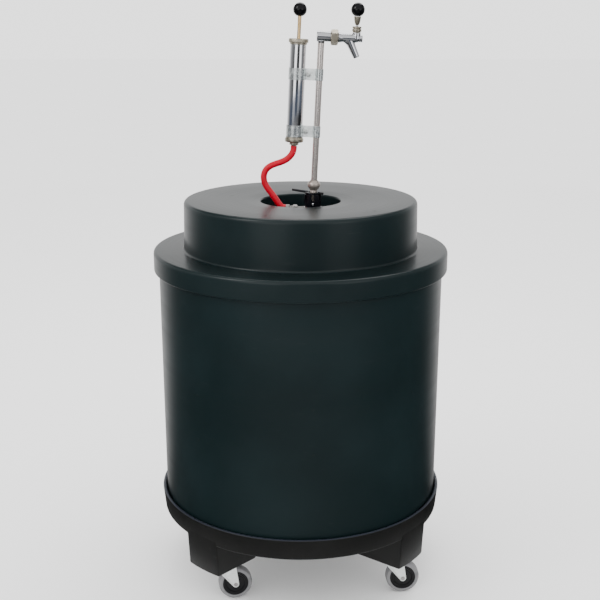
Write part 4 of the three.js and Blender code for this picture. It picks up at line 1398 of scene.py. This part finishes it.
def knob_mesh(radius: float, height: float, neck: float, bore: float) -> bmesh.types.BMesh:
    """A ball knob with a flat where it meets its stem.

    Args:
        radius: The ball's radius.
        height: Its centre.
        neck: The radius of the flat under it.
        bore: The radius of its hole.

    Returns:
        The mesh, in millimetres.
    """
    start = -math.degrees(math.acos(neck / radius))
    sweep = arc(0, height, radius, start, 90, 28)
    foot = sweep[0][1]
    hole = [(0, height - 4, 0), (bore, height - 4, 0), (bore, foot, 0.5), (neck, foot, 0.3)]
    return turned([*hole, *[(x, z, 0) for x, z in sweep[1:]]], 64)


@dataclass
class Pump:
    """The hand pump beside the rod, and the two straps that hold it."""

    bench: Bench
    tower: Tower
    pump_x: float = -49.0
    radius: float = 17.4
    bore: float = 16.2
    foot: float = 111.2
    top: float = 311.3
    cap_step: float = 315.2
    cap_top: float = 323.4
    knob_height: float = 384.6
    knob_radius: float = 15.0
    rod_radius: float = 4.0
    rod_foot: float = 160.0
    strap_height: float = 25.0
    strap_sheet: float = 1.2
    strap_feet: dict[str, float] = field(default_factory=lambda: {"lower": 111.9, "upper": 236.0})
    screw_x: float = -24.4

    def build(self) -> None:
        """Makes the pump and its straps in the tower's frame."""
        bench = self.bench
        frame = self.tower.frame @ Matrix.Translation((self.pump_x * MM, 0, 0))
        bench.piece("pump_barrel", ring([
            (self.bore, self.foot, 0), (self.radius, self.foot, 0.3),
            (self.radius, self.top, 0.3), (self.bore, self.top, 0),
        ], 96), Look.CHROME, "cooler", ["pump_cylinder"], frame)
        bench.piece("pump_top_cap", self._top_cap(), Look.NICKEL, "cooler", ["pump_cap"], frame, 30)
        bench.piece("pump_bottom_cap", self._bottom_cap(), Look.NICKEL, "cooler", ["pump_base_cap"],
                    frame, 30)
        bench.piece("hose_tail", ring([
            (3, 91.5, 0), (6.3, 91.5, 0.3), (6.3, 93.3, 0.3), (10.3, 93.6, 0.7), (10.3, 98.4, 0.9),
            (9.4, 98.8, 0), (3, 98.8, 0),
        ], 48), Look.NICKEL, "cooler", ["pump_outlet"], frame)
        bench.piece("plunger_rod", turned([
            (0, self.rod_foot, 0), (self.rod_radius, self.rod_foot, 0.5),
            (self.rod_radius, self.knob_height - 6, 0.5), (0, self.knob_height - 6, 0),
        ], 32), Look.BRASS, "plunger", ["pump_rod"], frame)
        bench.keep("pump_piston", Look.LEATHER)
        knob = knob_mesh(self.knob_radius, self.knob_height, KNOB_NECK, 4.3)
        bench.piece("plunger_knob", knob, Look.PHENOLIC, "plunger", ["pump_knob"], frame)
        for place, foot in self.strap_feet.items():
            self._strap(place, foot)

    def _top_cap(self) -> bmesh.types.BMesh:
        """The screwed cap: a disc with a fine knurl round it, on a narrower foot."""
        foot, step, top = self.top + 0.2, self.cap_step, self.cap_top

        def knurl(angle: float) -> float:
            return 21.5 - 0.22 * (0.5 + 0.5 * math.cos(60 * angle))

        heights = [(foot, 18.4), (foot + 0.6, 19), (step - 0.2, 19), (step, 20.4), (step + 0.9, 22),
                   (top - 1.6, 22), (top - 0.7, 21.0), (top, 20.0)]
        return shaped(heights, knurl, 360, 4.3)

    def _bottom_cap(self) -> bmesh.types.BMesh:
        """The base cap: a rounded disc with a step under it."""
        return ring([
            (3, 98.9, 0), (12.5, 98.9, 0.6), (13.2, 99.6, 0.4), (19.8, 99.9, 1.4), (20.6, 102.4, 1),
            (20.6, 107.6, 1.4), (18.8, 109.2, 0.8), (18.8, 111.1, 0.4), (3, 111.1, 0),
        ], 80)

    def _outline(self, offset: float) -> list[Point]:
        """The strap's outline at a distance from the pump's and the rod's surfaces."""
        half = 1.8 + offset
        big = self.radius + 0.15 + offset
        small = self.tower.rod_radius + 0.15 + offset
        wide = math.degrees(math.asin(half / big))
        narrow = math.degrees(math.asin(half / small))
        return [
            *arc(self.pump_x, 0, big, wide, 360 - wide, 64),
            *arc(0, 0, small, narrow - 180, 180 - narrow, 40),
        ]

    def _strap(self, place: str, foot: float) -> None:
        """One strap with its screw and nut."""
        top = foot + self.strap_height
        outer, inner = self._outline(self.strap_sheet), self._outline(0)
        lip = 0.35
        soft_outer, soft_inner = self._outline(self.strap_sheet - lip), self._outline(lip)
        levels = [(inner, foot + lip), (soft_inner, foot), (soft_outer, foot), (outer, foot + lip),
                  (outer, top - lip), (soft_outer, top), (soft_inner, top), (inner, top - lip)]
        loops = [[(x, y, z) for x, y in outline] for outline, z in levels]
        frame = self.tower.frame
        self.bench.piece(f"strap_{place}", skin(loops, True), Look.STRAP, "cooler",
                         [f"clamp_strap_{place}"], frame, 40)
        face = 1.8 + self.strap_sheet + 0.05
        middle = foot + self.strap_height / 2
        head = turned([(0, -face - 4.4, 0), (1.6, -face - 4.4, 0.3), (2.0, -face, 0), (2.0, face, 0),
                       (5.4, face, 0.3), (5.3, face + 1.4, 0.9), (3.6, face + 2.7, 1.2),
                       (0, face + 3.1, 0)], 40)
        nut = shaped([(-face - 3.6, 3.6), (-face - 3.1, 4.2), (-face, 4.2)], polygon(6, 8.4), 24, 2.0)
        screw = self.bench.raw(f"strap_screw_{place}", along_y(together([head, nut])),
                               frame @ Matrix.Translation((self.screw_x * MM, 0, middle * MM)))
        for turn in (45, 135):
            groove = plate([(-3.4, -0.45), (3.4, -0.45), (3.4, 0.45), (-3.4, 0.45)], face + 1.5, face + 4)
            groove = moved(along_y(groove), Matrix.Rotation(math.radians(turn), 4, "Y"))
            self.bench.cut(screw, groove)
        self.bench.finish(screw, Look.ZINC, "cooler", [f"clamp_screw_{place}"], 30)


# ---- Air hose ---------------------------------------------------------------------------------


@dataclass
class AirHose:
    """The red hose from the pump down into the lid's hole and onto the gas inlet."""

    bench: Bench
    diameter: float = 14.2
    length: float = 194.1
    route: tuple[Point, ...] = (
        (-15.0, 1005.3), (-15.9, 996.6), (-18.6, 988.9), (-23.9, 981.6), (-32.3, 974.6),
        (-43.3, 969.3), (-56.0, 965.0), (-67.6, 960.1), (-76.9, 952.6), (-81.9, 942.2),
        (-82.6, 930.6), (-79.6, 919.5), (-73.4, 908.8), (-65.0, 897.4), (-57.0, 886.2),
        (-49.9, 875.6), (-43.2, 867.8), (-34.9, 865.8),
    )

    def build(self) -> None:
        curve = bpy.data.curves.new("air_line", "CURVE")
        curve.dimensions = "3D"
        curve.bevel_depth = self.diameter / 2 * MM
        curve.bevel_resolution = 8
        curve.resolution_u = 12
        curve.use_fill_caps = True
        spline = curve.splines.new("BEZIER")
        spline.bezier_points.add(len(self.route) - 1)
        for point, (x, z) in zip(spline.bezier_points, self.route):
            point.co = (x * MM, 0, z * MM)
            point.handle_left_type = "AUTO"
            point.handle_right_type = "AUTO"
        hose = bpy.data.objects.new("air_line", curve)
        bpy.context.scene.collection.objects.link(hose)
        self.bench.finish(hose, Look.VINYL, "cooler", ["air_hose"])


# ---- Studio -----------------------------------------------------------------------------------


@dataclass
class Studio:
    """A pale floor in a white room, soft lights, and the camera."""

    camera_place: tuple[float, float, float] = (-0.00135, -2.3412, 1.2865)
    camera_tilt: float = 74.76
    lens: float = 62.73
    room: float = 2.2
    ring_radius: float = 6000.0
    ring_inside: float = 430.0
    wall_split: float = 2100.0
    ring_height: float = 3400.0
    floor_turns: tuple[Point, ...] = (
        (-180, 0.9), (-138, 0.50), (-112, 0.05), (-62, 0.01), (-26, 0.09), (0, 0.12), (26, 0.07),
        (58, 0.01), (112, 0.01), (138, 0.40), (180, 0.9),
    )
    low_turns: tuple[Point, ...] = (
        (-180, 0.6), (-135, 0.5), (-108, 0.16), (-60, 0.05), (-47, 0.03), (-43, 1.0), (-14, 1.0),
        (-10, 0.02), (22, 0.02), (28, 0.9), (50, 0.8), (56, 0.12), (100, 0.08), (120, 0.15),
        (135, 0.5), (180, 0.6),
    )
    high_turns: tuple[Point, ...] = (
        (-180, 0.62), (-140, 0.62), (-110, 0.25), (-70, 0.30), (-46, 0.5), (50, 0.5), (70, 0.25),
        (105, 0.15), (140, 0.55), (180, 0.62),
    )
    roof_turns: tuple[Point, ...] = (
        (-180, 0.04), (-115, 0.04), (-90, 0.25), (-45, 0.38), (45, 0.38), (90, 0.22), (115, 0.04),
        (180, 0.04),
    )
    patch_fade: tuple[float, float] = (620.0, 220.0)

    def camera(self) -> None:
        """Sets the camera at its viewing angle."""
        data = bpy.data.cameras.new("camera")
        data.lens = self.lens
        data.sensor_width = 36.0
        data.clip_start = 0.05
        made = bpy.data.objects.new("camera", data)
        made.location = self.camera_place
        made.rotation_euler = (math.radians(self.camera_tilt), 0, 0)
        bpy.context.scene.collection.objects.link(made)
        bpy.context.scene.camera = made

    def stage(self) -> None:
        """Lays the floor, and lights the room."""
        self._floor()
        self._world()
        self._flags()
        self._area("key_light", (-2.2, -1.4, 2.9), (0, 0, 0.9), (0.9, 1.6), 26)
        self._area("top_light", (0.3, 1.2, 3.2), (0, 0, 0.9), (2.4, 1.4), 40)

    def _floor(self) -> None:
        """A wide pale floor, just under the wheels."""
        mesh = bmesh.new()
        bmesh.ops.create_grid(mesh, x_segments=2, y_segments=2, size=30000.0)
        floor = Bench.raw("studio_floor", mesh, Matrix.Translation((0, 0, -0.0008)))
        graph = Graph("studio_floor")
        tone = graph.noise(graph.place(), 1.5, 2.0)
        graph.set(base_color=graph.blend(tone, (0.93, 0.93, 0.93, 1), (0.95, 0.95, 0.95, 1)),
                  roughness=0.7)
        floor.data.materials.append(graph.material)

    def _flags(self) -> None:
        """Dark and light flags round the set, which only reflections see."""
        profile = [(self.ring_inside, 4.0), (self.ring_radius, 4.0),
                   (self.ring_radius, self.ring_height), (0.0, self.ring_height)]
        turns = [2 * math.pi * step / 96 for step in range(96)]
        loops = [[(r * math.cos(a), r * math.sin(a), z) for a in turns] for r, z in profile]
        ring = Bench.raw("studio_flags", skin(loops, capped=False), Matrix.Identity(4))
        graph = Graph("studio_flags")
        here = graph.place()
        split = {axis: graph.node("ShaderNodeSeparateXYZ", {}, {"Vector": here}, axis) for axis in "XYZ"}
        turn = graph.node("ShaderNodeMath", {"operation": "ARCTAN2"}, {0: split["X"], 1: 0 - split["Y"]})
        share = turn / (2 * math.pi) + 0.5
        levels = (self.floor_turns, self.low_turns, self.high_turns, self.roof_turns)
        floor, low, high, roof = (self._ramp(graph, share, turns) for turns in levels)
        fade, span = self.patch_fade
        front = 1.0 - split["Y"].above(-1.0, 2.0)
        shadow = (1.0 - split["Z"].above(fade * MM, span * MM)) * front
        dim = graph.blend(shadow * 0.85, low, (0.04, 0.05, 0.07, 1.0))
        glow = graph.blend(split["Z"].above(0.01, 0.02), floor, dim)
        glow = graph.blend(split["Z"].above(self.wall_split * MM, 0.1), glow, high)
        glow = graph.blend(split["Z"].above(self.ring_height * MM - 0.02, 0.01), glow, roof)
        graph.set(base_color=(0.0, 0.0, 0.0), emission_color=glow, roughness=1.0)
        graph.set(emission_strength=self.room, specular_ior_level=0.0)
        ring.data.materials.append(graph.material)
        ring.visible_camera = False
        ring.visible_diffuse = False
        ring.visible_shadow = False
        ring.visible_transmission = False
        ring.visible_volume_scatter = False

    @staticmethod
    def _ramp(graph: Graph, share: Socket, turns: Sequence[Point]) -> Socket:
        """Greys round the set, from (degrees, grey) pairs."""
        stops = [((degrees + 180) / 360, grey) for degrees, grey in turns]
        return graph.node("ShaderNodeValToRGB", {"stops": stops}, {"Fac": share})

    def _world(self) -> None:
        """An even white room."""
        world = bpy.data.worlds.new("white_room")
        bpy.context.scene.world = world
        world.use_nodes = True
        background = world.node_tree.nodes["Background"]
        background.inputs["Color"].default_value = (1.0, 1.0, 1.0, 1.0)
        background.inputs["Strength"].default_value = self.room

    @staticmethod
    def _area(name: str, place: Sequence[float], aim: Sequence[float], size: Point, power: float) -> None:
        """One soft area light."""
        data = bpy.data.lights.new(name, "AREA")
        data.shape = "RECTANGLE"
        data.size, data.size_y = size
        data.energy = power
        made = bpy.data.objects.new(name, data)
        made.location = place
        turn = (Vector(aim) - Vector(place)).to_track_quat("-Z", "Y")
        made.rotation_euler = turn.to_euler()
        bpy.context.scene.collection.objects.link(made)


def main() -> None:
    """Builds the cooler piece by piece."""
    logging.basicConfig(level=logging.INFO, format="%(message)s")
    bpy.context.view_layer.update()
    bench = Bench()
    studio = Studio()
    studio.camera()
    AirHose(bench).build()
    Dolly(bench).build()
    for corner in ("front_left", "front_right", "rear_right", "rear_left"):
        Caster(bench, corner).build()
    Barrel(bench).build()
    Lid(bench).build()
    Keg(bench).build()
    Coupler(bench).build()
    tower = Tower(bench)
    tower.build()
    Faucet(bench, tower).build()
    Pump(bench, tower).build()
    studio.stage()
    LOG.info("%d pieces made", bench.count)


if __name__ == "__main__":
    main()
